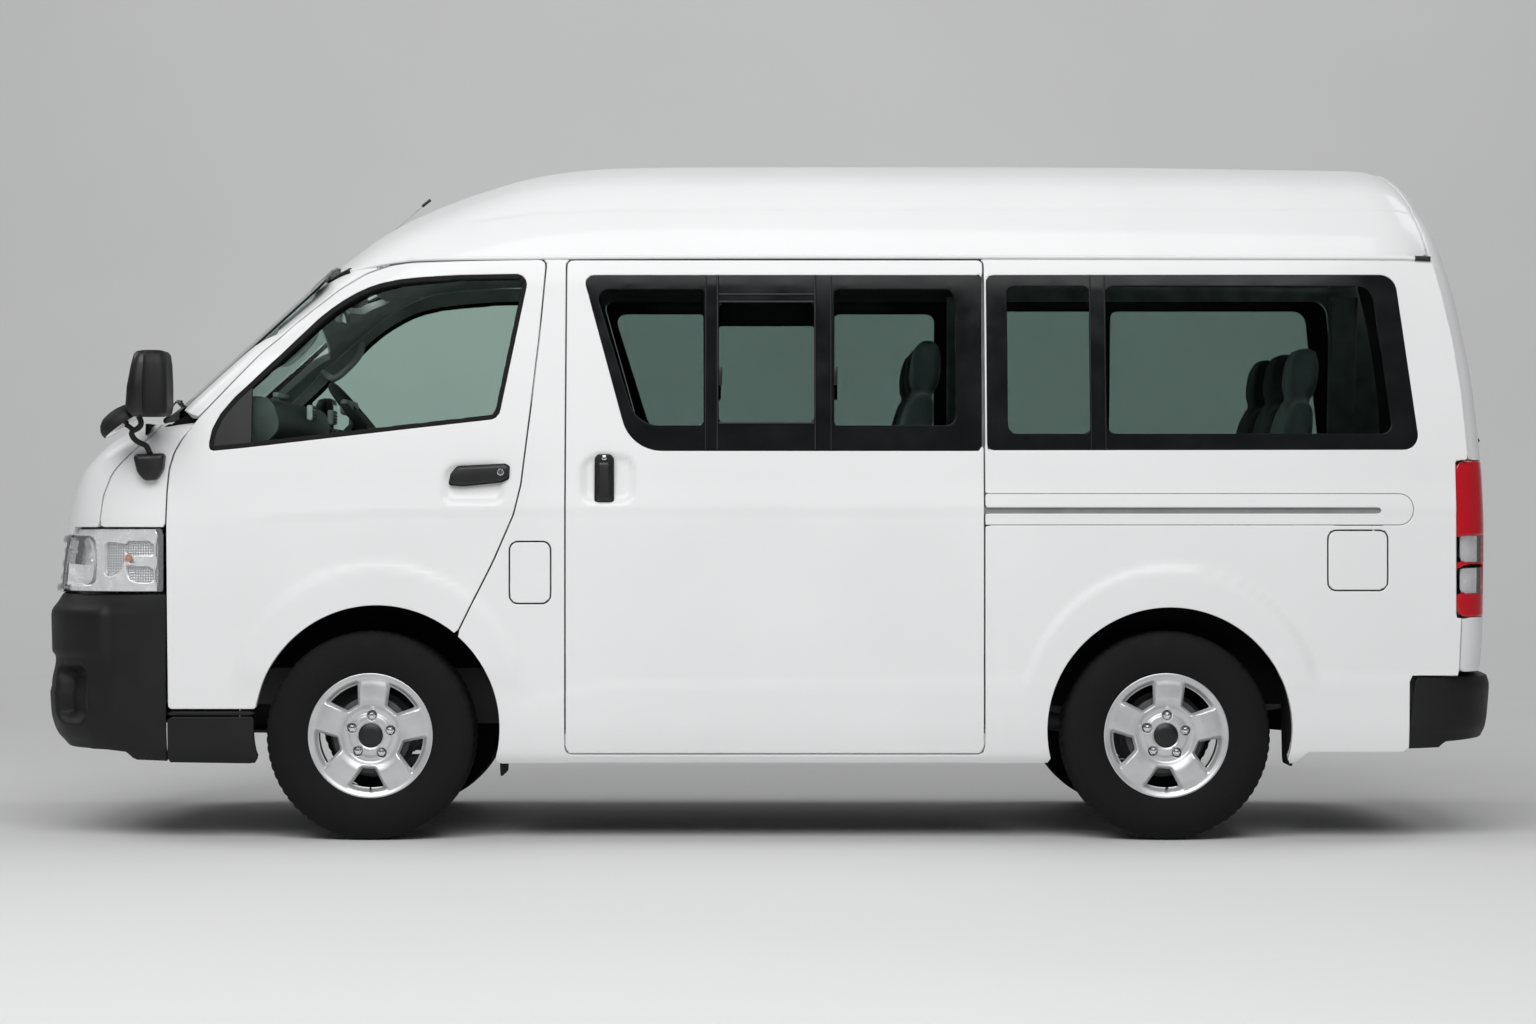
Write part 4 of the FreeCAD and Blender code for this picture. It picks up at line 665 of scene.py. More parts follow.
# ---------------------------------------------------------------- materials
def material(name, color, rough, metal=0.0, **sockets):
    """A principled material. Returns it with its node tree and shader, for the functions that add detail."""
    made = bpy.data.materials.new(name)
    made.use_nodes = True
    shader = made.node_tree.nodes["Principled BSDF"]
    shader.inputs["Base Color"].default_value = (*color, 1)
    shader.inputs["Roughness"].default_value = rough
    shader.inputs["Metallic"].default_value = metal
    for socket, value in sockets.items():
        shader.inputs[socket.replace("_", " ")].default_value = value
    return made, made.node_tree, shader


def node(tree, kind, **values):
    made = tree.nodes.new(kind)
    for key, value in values.items():
        if key in made.inputs:
            made.inputs[key].default_value = value
        else:
            setattr(made, key, value)
    return made


def noise_of(tree, scale, detail=4.0, stretch=(1, 1, 1)):
    place = node(tree, "ShaderNodeTexCoord")
    spread = node(tree, "ShaderNodeMapping")
    spread.inputs["Scale"].default_value = stretch
    made = node(tree, "ShaderNodeTexNoise", Scale=scale, Detail=detail)
    tree.links.new(place.outputs["Object"], spread.inputs["Vector"])
    tree.links.new(spread.outputs["Vector"], made.inputs["Vector"])
    return made


def vary(tree, source, target, low, high):
    """Drives a shader's number from a texture, between two values."""
    spread = node(tree, "ShaderNodeMapRange")
    for socket, value in (("From Min", 0.3), ("From Max", 0.7), ("To Min", low), ("To Max", high)):
        spread.inputs[socket].default_value = value
    tree.links.new(source, spread.inputs["Value"])
    tree.links.new(spread.outputs["Result"], target)


def tint(tree, source, target, dark, light):
    """Drives a colour from a texture, between two colours."""
    band = node(tree, "ShaderNodeValToRGB")
    for element, place, color in zip(band.color_ramp.elements, (0.3, 0.7), (dark, light)):
        element.position = place
        element.color = (*color, 1)
    tree.links.new(source, band.inputs["Fac"])
    tree.links.new(band.outputs["Color"], target)


def mottle(tree, source, shader, color, shares):
    """Drives a material's colour between two shares of it."""
    dark, light = (tuple(min(1, c * share) for c in color) for share in shares)
    tint(tree, source, shader.inputs["Base Color"], dark, light)


def bump(tree, source, shader, strength, distance):
    made = node(tree, "ShaderNodeBump")
    made.inputs["Strength"].default_value = strength
    made.inputs["Distance"].default_value = distance
    tree.links.new(source, made.inputs["Height"])
    tree.links.new(made.outputs["Normal"], shader.inputs["Normal"])


def surface(name, color, rough, cloud, metal=0.0, shares=None, spread=None, fine=None, **sockets):
    """A material varied by a cloud of noise.

    shares are those of its colour, spread is its roughness at both ends, and fine is the relief's own
    noise (scale and detail), strength and depth.
    """
    made, tree, shader = material(name, color, rough, metal, **sockets)
    source = noise_of(tree, *cloud).outputs["Fac"]
    if shares:
        mottle(tree, source, shader, color, shares)
    if spread:
        vary(tree, source, shader.inputs["Roughness"], *spread)
    if fine:
        scale, detail, strength, distance = fine
        bump(tree, noise_of(tree, scale, detail).outputs["Fac"], shader, strength, distance)
    return made


def paint_material(name, color):
    return surface(name, color, 0.42, (2.2, 3), shares=(0.975, 1.012), fine=(420, 2, 0.05, 0.0006),
                   Coat_Weight=0.3, Coat_Roughness=0.08, Specular_IOR_Level=0.3)


def plastic_material(name, color, rough=0.55, grain=900, depth=0.0004, strength=0.35, gloss=0.5):
    return surface(name, color, rough, (9, 4), shares=(0.82, 1.18), spread=(rough - 0.06, rough + 0.08),
                   fine=(grain, 2, strength, depth), Specular_IOR_Level=gloss)


def metal_material(name, color, rough, grain=60, metal=1.0):
    return surface(name, color, rough, (grain, 5), metal, shares=(0.9, 1.06),
                   spread=(rough - 0.07, rough + 0.09),
                   fine=(grain, 5, 0.08, 0.0005))


def glass_material(name, color, bend=1.08):
    """Glass through which colours are dulled by the given share."""
    return surface(name, color, 0.0, (3, 2), shares=(0.985, 1.015), IOR=bend, Transmission_Weight=1.0)


def cover_material(name, color, alpha, rough):
    """A clear moulded lens over a lamp, which lets the lamps of the studio through."""
    return surface(name, color, rough, (3, 2), spread=(rough, rough + 0.015), IOR=1.5, Alpha=alpha,
                   Coat_Weight=0.5,
                   Coat_Roughness=0.01)


def rubber_material(name, color):
    return surface(name, color, 0.78, (22, 6), shares=(0.7, 1.35), spread=(0.68, 0.86),
                   fine=(700, 3, 0.3, 0.0005),
                   Specular_IOR_Level=0.22)


def lens_material(name, color, rough, through):
    made, tree, shader = material(name, color, rough, IOR=1.45, Transmission_Weight=through)
    ribs = noise_of(tree, 260, 1, (1, 1, 3))
    bump(tree, ribs.outputs["Fac"], shader, 0.25, 0.0008)
    return made


def cloth_material(name, color, scale=900):
    made, tree, shader = material(name, color, 0.92, Sheen_Weight=0.35, Sheen_Roughness=0.5)
    weave = noise_of(tree, scale, 1, (1, 1, 0.35))
    cross = noise_of(tree, scale, 1, (0.35, 1, 1))
    total = node(tree, "ShaderNodeMath", operation="ADD")
    tree.links.new(weave.outputs["Fac"], total.inputs[0])
    tree.links.new(cross.outputs["Fac"], total.inputs[1])
    cloud = noise_of(tree, 14, 4)
    mottle(tree, cloud.outputs["Fac"], shader, color, (0.78, 1.2))
    bump(tree, total.outputs["Value"], shader, 0.6, 0.0006)
    return made


def reflector_material(name, color):
    """Bright moulded reflector with a grid of small facets."""
    made, tree, shader = material(name, color, 0.28, 0.6)
    place = node(tree, "ShaderNodeTexCoord")
    parts = node(tree, "ShaderNodeSeparateXYZ")
    tree.links.new(place.outputs["Object"], parts.inputs["Vector"])
    waves = []
    for axis in ("X", "Z"):
        turn = node(tree, "ShaderNodeMath", operation="MULTIPLY")
        turn.inputs[1].default_value = 760.0
        wave = node(tree, "ShaderNodeMath", operation="SINE")
        tree.links.new(parts.outputs[axis], turn.inputs[0])
        tree.links.new(turn.outputs["Value"], wave.inputs[0])
        waves.append(wave)
    total = node(tree, "ShaderNodeMath", operation="ADD")
    tree.links.new(waves[0].outputs["Value"], total.inputs[0])
    tree.links.new(waves[1].outputs["Value"], total.inputs[1])
    bump(tree, total.outputs["Value"], shader, 0.55, 0.0009)
    return made


PAINT = paint_material("white_paint", (0.84, 0.842, 0.845))
TRIM = plastic_material("black_plastic", (0.0085, 0.0085, 0.009), 0.55, 700, 0.0006, 0.45, 0.3)
SATIN = plastic_material("black_satin", (0.007, 0.007, 0.0075), 0.38, 1500, 0.0002, 0.15)
FRIT = plastic_material("glass_border", (0.008, 0.009, 0.0095), 0.1, 1500, 0.0001, 0.02, 0.15)
GLASS_CLEAR = glass_material("clear_glass", (0.68, 0.8, 0.75))
GLASS_SCREEN = glass_material("screen_glass", (0.68, 0.8, 0.75), 1.45)
GLASS_TINTED = glass_material("tinted_glass", (0.4, 0.49, 0.46))
LENS_CLEAR = cover_material("lens_clear", (0.8, 0.82, 0.84), 0.1, 0.01)
LENS_RED = lens_material("lens_red", (0.7, 0.01, 0.02), 0.12, 0.25)
LENS_ORANGE = lens_material("lens_orange", (0.85, 0.26, 0.02), 0.15, 0.5)
TYRE = rubber_material("tyre_rubber", (0.0055, 0.0055, 0.0058))
SEAL = rubber_material("rubber_seal", (0.008, 0.008, 0.0085))
ALLOY = metal_material("wheel_silver", (0.62, 0.625, 0.63), 0.33, 12, metal=0.45)
CHROME = metal_material("chrome", (0.85, 0.86, 0.88), 0.08, 40)
STEEL = metal_material("steel", (0.42, 0.42, 0.43), 0.38, 120)
DARK_STEEL = metal_material("dark_steel", (0.1, 0.1, 0.105), 0.62, 30, metal=0.6)
# Near-black for the wheel housings, the cab's front and the grille's back: partly their own black, partly
# painted shade, darkened further so that they read as shaded.
NEAR_BLACK_AND_SHADE = plastic_material("near_black_and_painted_shade", (0.006, 0.006, 0.0065), 0.8, 300, 0.001, 0.5, 0.15)
GREY = plastic_material("grey_trim", (0.13, 0.132, 0.134), 0.6, 700)
LINING = cloth_material("lining", (0.55, 0.555, 0.55), 500)
FLOOR_MAT = cloth_material("floor_mat", (0.045, 0.046, 0.048), 500)
DOOR_LINING = plastic_material("door_lining", (0.62, 0.625, 0.62), 0.6, 700)
PLATE_WHITE = plastic_material("plate_white", (0.62, 0.62, 0.61), 0.4, 1200, 0.0001, 0.1)
LIGHT_GREY = plastic_material("light_trim", (0.27, 0.27, 0.265), 0.65, 700)
SEAT_CLOTH = cloth_material("seat_cloth", (0.085, 0.088, 0.095))
SEAT_TRIM = plastic_material("seat_vinyl", (0.045, 0.046, 0.05), 0.6, 600)
LAMP_WHITE = metal_material("lamp_white", (0.86, 0.865, 0.87), 0.22, 30, metal=0.35)
REFLECTOR = reflector_material("reflector", (0.46, 0.465, 0.48))
GRILLE_SILVER = metal_material("grille_silver", (0.7, 0.71, 0.72), 0.22, 200)


# ---------------------------------------------------------------- painted body
gutter_top = above(GUTTER)
gate_edge = past(GATE_EDGE)
bonnet_edge = past(BONNET_EDGE)
front_door = side_view(FRONT_DOOR)
slide_door = side_view(SLIDE_DOOR)
quarter_band = side_view(QUARTER_BAND)
front_arch = wheel_arch(FRONT_ARCH)
rear_arch = wheel_arch(REAR_ARCH)


def across(p):
    return np.abs(p[:, 1])


def pillar_foot(x):
    """Height of the joint between fender and windscreen post."""
    return 1.39 - 0.42 * (x + 1.9)


def screen_top(y):
    return 1.898 - 0.172 * y * y


def beside_screen(p):
    return np.maximum(p[:, 0] + 1.6, across(p) - SCREEN_HALF - 0.003)


def below_pillar(p):
    return np.maximum(p[:, 0] + 1.3, p[:, 2] - pillar_foot(p[:, 0]) - GAP)


def round_tail_lamp(p):
    x, _, z = p.T
    clear = np.maximum.reduce([TAIL_LAMP_X - x, z - TAIL_LAMP_Z[1], TAIL_LAMP_Z[0] - z]) - GAP
    return np.where(x < 2.14, 1.0, clear)


def below_bumper_top(p):
    return np.maximum(2.066 - p[:, 0], p[:, 2] - 0.534)


def over_screen(gap):
    """The roof's front end, clear of the windscreen's top edge."""
    return lambda p: np.where(p[:, 0] < -1.2, p[:, 2] - screen_top(p[:, 1]) - gap, 1.0)


def clear_of_screen(p):
    return np.maximum.reduce([-screen_field(p) - 0.012, 1.22 - p[:, 2], across(p) - 0.712])


def bonnet_foot(p):
    """The bonnet reaches lower over the grille than over the lamps."""
    return p[:, 2] - np.where(across(p) < 0.684, BONNET_FOOT, 1.011)


def tail_lamp_notch(p):
    low, high = TAIL_LAMP_Z
    return np.minimum.reduce([across(p) - TAIL_LAMP_Y, p[:, 2] - low, high - p[:, 2]]) + GAP


def body_area():
    """The fixed part of a side, round the doors, glass, arches and lamps."""
    return both(
        off(gutter_top, 0.0005), off(gate_edge), off(front_door), off(slide_door), off(quarter_band, 0.0012),
        off(front_arch, 0.0), off(rear_arch, 0.0), off(side_view(RAIL_SLOT), 0.0), beside_screen,
        below_pillar,
        round_tail_lamp, below_bumper_top, above(SILL_RISE),
    )


def skin(node_name, sheet, areas, inner=PAINT, body="body", thick=SKIN):
    """The painted piece that stands for the CAD node of that name."""
    cut_piece(f"{node_name}_skin", sheet, areas, PAINT, "paint", thick, body, (node_name,), inner, PAINT)


def painted_sides():
    sheets = []
    for side, name in SIDES:
        sheet = side_sheet(side)
        sheets.append((sheet, name))
        lids = LIDS if side < 0 else ()
        area = both(body_area(), *[off(side_view(lid)) for _, _, lid in lids])
        cover = side_view(RAIL_COVER)
        parts = [both(area, off(cover, 0.001)), both(area, grown(cover, -0.001))]
        skin(f"body_side_{name}", sheet, parts, LINING)
        door = both(grown(front_door, -GAP), off(front_arch, 0.001), off(side_view(DOOR_WINDOW), 0.0))
        skin(f"front_door_{name}", sheet, [door], DOOR_LINING, f"{name}_door")
        slide = both(grown(slide_door, -GAP), off(side_view(SLIDE_BAND), 0.0012))
        skin(f"sliding_door_{name}", sheet, [slide], GREY)
        for lid_name, body, lid in lids:
            skin(lid_name, sheet, [grown(side_view(lid), -GAP)], PAINT, body, 0.006)
        side_glazing(sheet, side, name)
    return sheets


def pane_outlines(name):
    """The clear parts of the sliding door's glass and of the quarter glass."""
    (front_0, front_1), (rear_0, rear_1), (post_0, post_1) = BARS[name]
    foot, top, low = PANE_FOOT, PANE_TOP, QUARTER_FOOT
    slide = (
        ((-0.56, top, 0.03), (-0.424, foot, 0.1), (front_0, foot, 0.01), (front_0, top, 0.01)),
        ((front_1, foot + 0.007, 0.02), (front_1, 1.742, 0.02), (rear_0, 1.742, 0.02),
         (rear_0, foot + 0.007, 0.02)),
        ((rear_1, foot, 0.01), (rear_1, top, 0.01), (0.606, top, 0.03), (0.606, foot, 0.03)),
    )
    quarter = (
        ((0.775, low, 0.03), (0.775, top + 0.01, 0.02), (post_0, top + 0.01, 0.02), (post_0, low, 0.02)),
        ((post_1, low, 0.03), (post_1, top + 0.01, 0.02), (1.958, top + 0.01, 0.05), (2.014, 1.33, 0.05),
         (1.99, low, 0.03)),
    )
    return [side_view(corners) for corners in slide], [side_view(corners) for corners in quarter]


def on_side(side, points, proud):
    """Places in side view as points that stand proud of the left or right side."""
    return [(x, side * (side_y(x, z) + proud), z) for x, z in points]


def window_bars(name, side):
    """Frame of the sliding window, its catches and the quarter window's bar."""
    bars = Shape()
    (front_0, front_1), (rear_0, rear_1), (post_0, post_1) = BARS[name]
    uprights = (
        # x, half width
        (front_0 + 0.006, 0.0025), (front_1 - 0.004, 0.004), (rear_0 + 0.004, 0.004), (rear_1 - 0.01, 0.0025),
        (post_0 + 0.004, 0.0025), (post_1 - 0.004, 0.0025),
    )
    for x, half in uprights:
        bars.tube(on_side(side, [(x, z) for z in (1.262, 1.4, 1.55, 1.7, 1.826)], 0.0012), half, flat=0.8)
    for z in (1.347, 1.742, 1.766):
        route = [(x, z) for x in (front_1, (front_1 + rear_0) / 2, rear_0)]
        bars.tube(on_side(side, route, 0.0008), 0.0035)
    for x in (front_1 + 0.004, rear_1 + 0.004):
        y = side * (side_y(x, 1.5) + 0.002)
        low, high = sorted((y, y - side * 0.012))
        bars.block((x - 0.005, low, 1.47), (x + 0.007, high, 1.53), 0, 0.003)
    bars.build(f"window_bars_{name}", [SATIN], "body", "glass_tinted")


def side_glazing(sheet, side, name):
    slide_holes, quarter_holes = pane_outlines(name)
    window_bars(name, side)
    bands = [both(side_view(SLIDE_BAND), *[off(hole, 0.0) for hole in slide_holes]),
             both(quarter_band, *[off(hole, 0.0) for hole in quarter_holes])]
    cut_piece(f"window_band_{name}", sheet, bands, FRIT, "glass_tinted", BAND, sink=0.0008,
              nodes=("sliding_door_glass", "quarter_glass"))
    panes = [grown(hole, 0.005) for hole in (*slide_holes, *quarter_holes)]
    cut_piece(f"side_panes_{name}", side_sheet(side, PANE_STEP), panes, GLASS_TINTED, "glass_tinted", PANE,
              roll=0,
              sink=0.0072)
    window, body = side_view(DOOR_WINDOW), f"{name}_door"
    seal = both(window, off(grown(window, -0.016), 0.0))
    cut_piece(f"front_window_seal_{name}", sheet, [seal], SEAL, "black_plastic", SKIN, body, sink=0.001)
    sail = both(window, front_of(DOOR_POST_X), grown(window, -0.006))
    cut_piece(f"front_window_sail_{name}", sheet, [sail], SATIN, "black_plastic", 0.02, body, sink=0.003)
    clear = both(grown(window, -0.012), rear_of(DOOR_POST_X))
    cut_piece(f"front_window_{name}", sheet, [clear], GLASS_CLEAR, "glass_clear", PANE, body,
              (f"front_door_glass_{name}",), roll=0, sink=0.014)


def painted_ends():
    nose = fan_sheet(nose_field, -1, 0.78, 1.05, 82, 62, NOSE_STEP)
    bonnet = both(off(bonnet_edge), clear_of_screen, bonnet_foot)
    skin("bonnet", nose, [bonnet], PAINT, "bonnet_panel", NOSE_SKIN)
    fender = both(grown(bonnet_edge, -GAP), over_z(LAMP_HEAD + GAP), clear_of_screen, off(front_door),
                  front_of(-1.82), lambda p: pillar_foot(p[:, 0]) - GAP - p[:, 2],
                  beyond_y(0.3))
    cut_piece("fender_skins", nose, [fender], PAINT, "paint", NOSE_SKIN, nodes=("fenders",))
    roof = roof_sheet()
    linings(roof_sheet(3))
    skin("roof", roof, [both(grown(gutter_top, -0.0005), off(gate_edge), over_screen(0.003))], LINING)
    tail = fan_sheet(cabin_field, 1, 0.5, 1.75, 82, 80, TAIL_STEP)
    window, pane = rear_view(TAIL_WINDOW), rear_view(TAIL_PANE)
    gate = both(grown(gate_edge, -GAP), off(tail_lamp_notch, 0.0), over_z(0.545), off(window, 0.0012))
    skin("tailgate", tail, [gate], GREY, "rear_door")
    cut_piece("tailgate_window_border", tail, [both(window, off(pane, 0.0))], FRIT, "glass_tinted", BAND,
              "rear_door", ("tailgate_glass",), sink=0.001)
    cut_piece("tailgate_window", tail, [pane], GLASS_TINTED, "glass_tinted", PANE, "rear_door", roll=0,
              sink=0.0012)
    return nose, tail


def windscreen():
    sheet = screen_sheet()
    corner = screen_top(SCREEN_HALF)
    edge = [(-SCREEN_HALF, SCREEN_Z, 0.02),
            *[(y, 1.366 + 0.053 * y * y) for y in (-0.5, -0.25, 0, 0.25, 0.5)],
            (SCREEN_HALF, SCREEN_Z, 0.02), (SCREEN_HALF, corner, 0.05),
            *[(y, screen_top(y)) for y in (0.55, 0.4, 0.2, 0, -0.2, -0.4, -0.55)],
            (-SCREEN_HALF, corner, 0.05)]
    whole = rear_view(edge)
    pane = grown(whole, -0.045)
    cut_piece("windscreen_border", sheet, [both(whole, off(pane, 0.0))], FRIT, "glass_clear", BAND,
              nodes=("windscreen",))
    cut_piece("windscreen_pane", sheet, [pane], GLASS_SCREEN, "glass_clear", PANE, roll=0, sink=0.0004)


# ---------------------------------------------------------------- solid shapes
class Shape:
    """Collects turned, swept, lofted and boxed forms, each with its own material, into one piece."""

    def __init__(self):
        self.points, self.faces, self.slots = [], [], []

    def add(self, points, faces, slot=0, place=None):
        start = len(self.points)
        matrix = place or Matrix()
        flip = matrix.determinant() < 0
        self.points += [matrix @ Vector(p) for p in points]
        for face in faces:
            face = [start + i for i in face]
            self.faces.append(face[::-1] if flip else face)
            self.slots.append(slot)

    def rings(self, rings, slot=0, place=None, cap=True, close=False):
        """Joins equal rings of points with quads, and closes the two ends."""
        count = len(rings[0])
        points = [p for ring in rings for p in ring]
        faces = []
        pairs = list(zip(range(len(rings)), range(1, len(rings))))
        if close:
            pairs.append((len(rings) - 1, 0))
        for a, b in pairs:
            for i in range(count):
                j = (i + 1) % count
                faces.append((a * count + i, a * count + j, b * count + j, b * count + i))
        if cap and not close:
            faces.append(tuple(range(count))[::-1])
            faces.append(tuple((len(rings) - 1) * count + i for i in range(count)))
        self.add(points, faces, slot, place)

    def turned(self, profile, slot=0, place=None, count=48, cap=True):
        """Turns a profile of (radius, height) about local Z."""
        angles = [2 * math.pi * i / count for i in range(count)]
        rings = [[(r * math.cos(a), r * math.sin(a), z) for a in angles] for r, z in profile]
        self.rings(rings, slot, place, cap)

    def tube(self, route, radius, slot=0, place=None, sides=14, flat=1.0):
        """A round or flattened bar along a route."""
        route = [Vector(p) for p in (curved(route) if len(route) > 2 else route)]
        side = None
        rings = []
        for i, p in enumerate(route):
            ahead = (route[min(i + 1, len(route) - 1)] - route[max(i - 1, 0)]).normalized()
            if side is None:
                side = ahead.orthogonal().normalized()
            side = (side - ahead * side.dot(ahead)).normalized()
            over = ahead.cross(side)
            r = radius(i / (len(route) - 1)) if callable(radius) else radius
            rings.append([p + side * (r * math.cos(a)) + over * (r * flat * math.sin(a))
                          for a in (2 * math.pi * k / sides for k in range(sides))])
        self.rings(rings, slot, place)

    def block(self, low, high, slot=0, bevel=0.004, place=None, steps=2):
        """A box between two corners with rounded edges."""
        mesh = bmesh.new()
        bmesh.ops.create_cube(mesh, size=1)
        size = Vector(high) - Vector(low)
        middle = (Vector(high) + Vector(low)) / 2
        bmesh.ops.scale(mesh, vec=size, verts=mesh.verts)
        bmesh.ops.translate(mesh, vec=middle, verts=mesh.verts)
        width = min(bevel, 0.49 * min(size))
        bmesh.ops.bevel(mesh, geom=mesh.edges[:], offset=width, segments=steps, profile=0.5, affect="EDGES")
        faces = [[v.index for v in f.verts] for f in mesh.faces]
        self.add([v.co.copy() for v in mesh.verts], faces, slot, place)
        mesh.free()

    def build(self, name, materials, body="body", slot=None, nodes=(), angle=35):
        mesh = bpy.data.meshes.new(name)
        mesh.from_pydata([tuple(p) for p in self.points], [], self.faces)
        for material_of in materials:
            mesh.materials.append(material_of)
        mesh.polygons.foreach_set("material_index", self.slots)
        mesh.polygons.foreach_set("use_smooth", [True] * len(self.faces))
        mesh.update()
        mesh.set_sharp_from_angle(angle=math.radians(angle))
        return dress(linked(name, mesh), body, nodes)


def curved(route, steps=8):
    """More points along a route, on a smooth line through its points."""
    points = [Vector(p) for p in route]
    points = [points[0] * 2 - points[1], *points, points[-1] * 2 - points[-2]]
    line_points = []
    for a, b, c, d in zip(points, points[1:], points[2:], points[3:]):
        for i in range(steps):
            t = i / steps
            line_points.append(0.5 * ((2 * b) + (c - a) * t + (2 * a - 5 * b + 4 * c - d) * t * t
                                      + (3 * b - a - 3 * c + d) * t * t * t))
    line_points.append(points[-2])
    return line_points


def placed(arrays, matrix):
    """Cut panels moved by a matrix, with their normals."""
    points, tris, normals, kinds = arrays
    turn = np.array(matrix.to_3x3())
    shift = np.array(matrix.translation)
    if matrix.determinant() < 0:
        tris = tris[:, ::-1]
    return points @ turn.T + shift, tris, unit(normals @ turn.T), kinds


def axis_frame(place, along):
    """A matrix that puts local Z along a direction at a place."""
    turn = Vector(along).to_track_quat("Z", "Y").to_matrix().to_4x4()
    return Matrix.Translation(place) @ turn


# ---------------------------------------------------------------- wheels
WHEEL_Y = 0.735
RIM_EDGE_R = 0.204
TYRE_R = 0.338
FACE_Y = 0.0815  # how far a wheel's face stands outward of the tyre's middle
SPOKES = 5
WHEEL_TURN = 3.5  # how far the wheels have rolled from a spoke straight up
WINDOW_ANGLES = tuple(math.radians(-90 - WHEEL_TURN + 360 / SPOKES * k) for k in range(SPOKES))
NUT_ANGLES = tuple(math.radians(90 - WHEEL_TURN + 360 / SPOKES * k) for k in range(SPOKES))
WHEEL_WINDOW = ((0.098, -0.0245, 0.012), (0.2, -0.0875, 0.002), (0.2, 0.0875, 0.002), (0.098, 0.0245, 0.012))
TREAD_BLOCKS = 70
TREAD_R = 0.3075  # where the tread's shoulder begins
NUT_RING = 0.0645
# distance from the axis, outward height of the wheel's face
FACE_LINE = (
    (0.0, -0.014), (0.036, -0.014), (0.043, -0.009), (0.05, -0.008), (0.066, -0.01), (0.072, -0.016),
    (0.084, -0.016), (0.1, -0.006), (0.125, 0.001), (0.16, 0.0), (0.186, -0.004), (0.193, -0.001),
    (0.2005, 0.002), (0.204, -0.002),
)
# across the tyre, distance from the axis
TYRE_LINE = (
    (-0.07, 0.196), (-0.082, 0.2), (-0.088, 0.212), (-0.0945, 0.235), (-0.0975, 0.262), (-0.0968, 0.285),
    (-0.094, 0.3), (-0.0925, 0.306), (-0.0905, 0.3065), (-0.0895, 0.312), (-0.086, 0.322), (-0.0795, 0.331),
    (-0.07, 0.336), (-0.055, 0.3375), (0.0, 0.338),
)


def window_field(x, z, cut=0.0, arc=0.184):
    """Distance inside the nearest of the five pockets of a wheel's face, drawn in by the cut and the arc."""
    best = np.full(x.shape, -1.0)
    radius = np.hypot(x, z)
    for angle in WINDOW_ANGLES:
        u = x * math.cos(angle) + z * math.sin(angle)
        v = -x * math.sin(angle) + z * math.cos(angle)
        best = np.maximum(best, np.minimum(inside(WHEEL_WINDOW, u, v) - cut, arc - radius))
    return best


def wheel_face():
    """The face of a left wheel about its middle: local -Y is outward."""
    profile = smooth_curve(FACE_LINE)
    r, a = grid_of(spaced(0.034, RIM_EDGE_R, 0.004), np.linspace(0, 2 * math.pi, 189))
    x, z = r * np.cos(a), r * np.sin(a)
    depth = profile(r) - 0.024 * ramp(window_field(x, z), 0.014)
    for angle in NUT_ANGLES:
        near = np.hypot(x - NUT_RING * math.cos(angle), z - NUT_RING * math.sin(angle))
        depth -= 0.01 * ramp(0.0165 - near, 0.003)
    grid = np.stack([x, -depth, z], -1)
    sheet = Sheet(grid, np.ones(r.shape, bool), np.array([0, -1.0, 0]))
    return cut_panel(sheet, lambda p: -window_field(p[:, 0], p[:, 2], 0.0095, 0.169), 0.007, roll=0)


def tyre_grid(count=210):
    """Points of a tyre about its axis, with shoulder blocks and rings on its walls."""
    left = np.array(TYRE_LINE)
    whole = np.concatenate([left, left[-2::-1] * (-1, 1)])
    fine = smooth_path(whole, 46)
    width, radius = fine.T
    angle = np.linspace(0, 2 * math.pi, count, endpoint=False)
    w, a = grid_of(width, angle)
    r = np.repeat(radius[:, None], count, axis=1)
    turned = a / (2 * math.pi) * TREAD_BLOCKS
    wide = np.abs(w)
    cut = ramp(r - TREAD_R, 0.002) * np.where((turned % 1.0 < 0.25) & (wide > 0.056), 1.0, 0.0) * 0.0028
    middle_block = (turned + wide * 12 + 0.5) % 1.0
    cut += np.where((wide > 0.012) & (wide < 0.048) & (middle_block < 0.18), 0.005, 0.0)
    cut += 0.007 * np.exp(-((wide - 0.052) / 0.0042) ** 2) + 0.007 * np.exp(-((wide - 0.009) / 0.004) ** 2)
    cut -= 0.0008 * np.exp(-((r - 0.2955) / 0.0024) ** 2) + 0.0006 * np.exp(-((r - 0.303) / 0.0022) ** 2)
    bulge = np.where(r <= TREAD_R, -cut, 0.0) * np.sign(w)
    r = r - np.where(r > TREAD_R, cut, 0.0)
    return np.stack([r * np.cos(a), w + bulge, r * np.sin(a)], -1)


def smooth_path(points, count):
    route = np.array([tuple(p) for p in curved([(p[0], p[1], 0) for p in points], 6)])[:, :2]
    length = np.concatenate([[0], np.cumsum(np.linalg.norm(np.diff(route, axis=0), axis=1))])
    at = np.linspace(0, length[-1], count)
    return np.stack([np.interp(at, length, route[:, 0]), np.interp(at, length, route[:, 1])], 1)


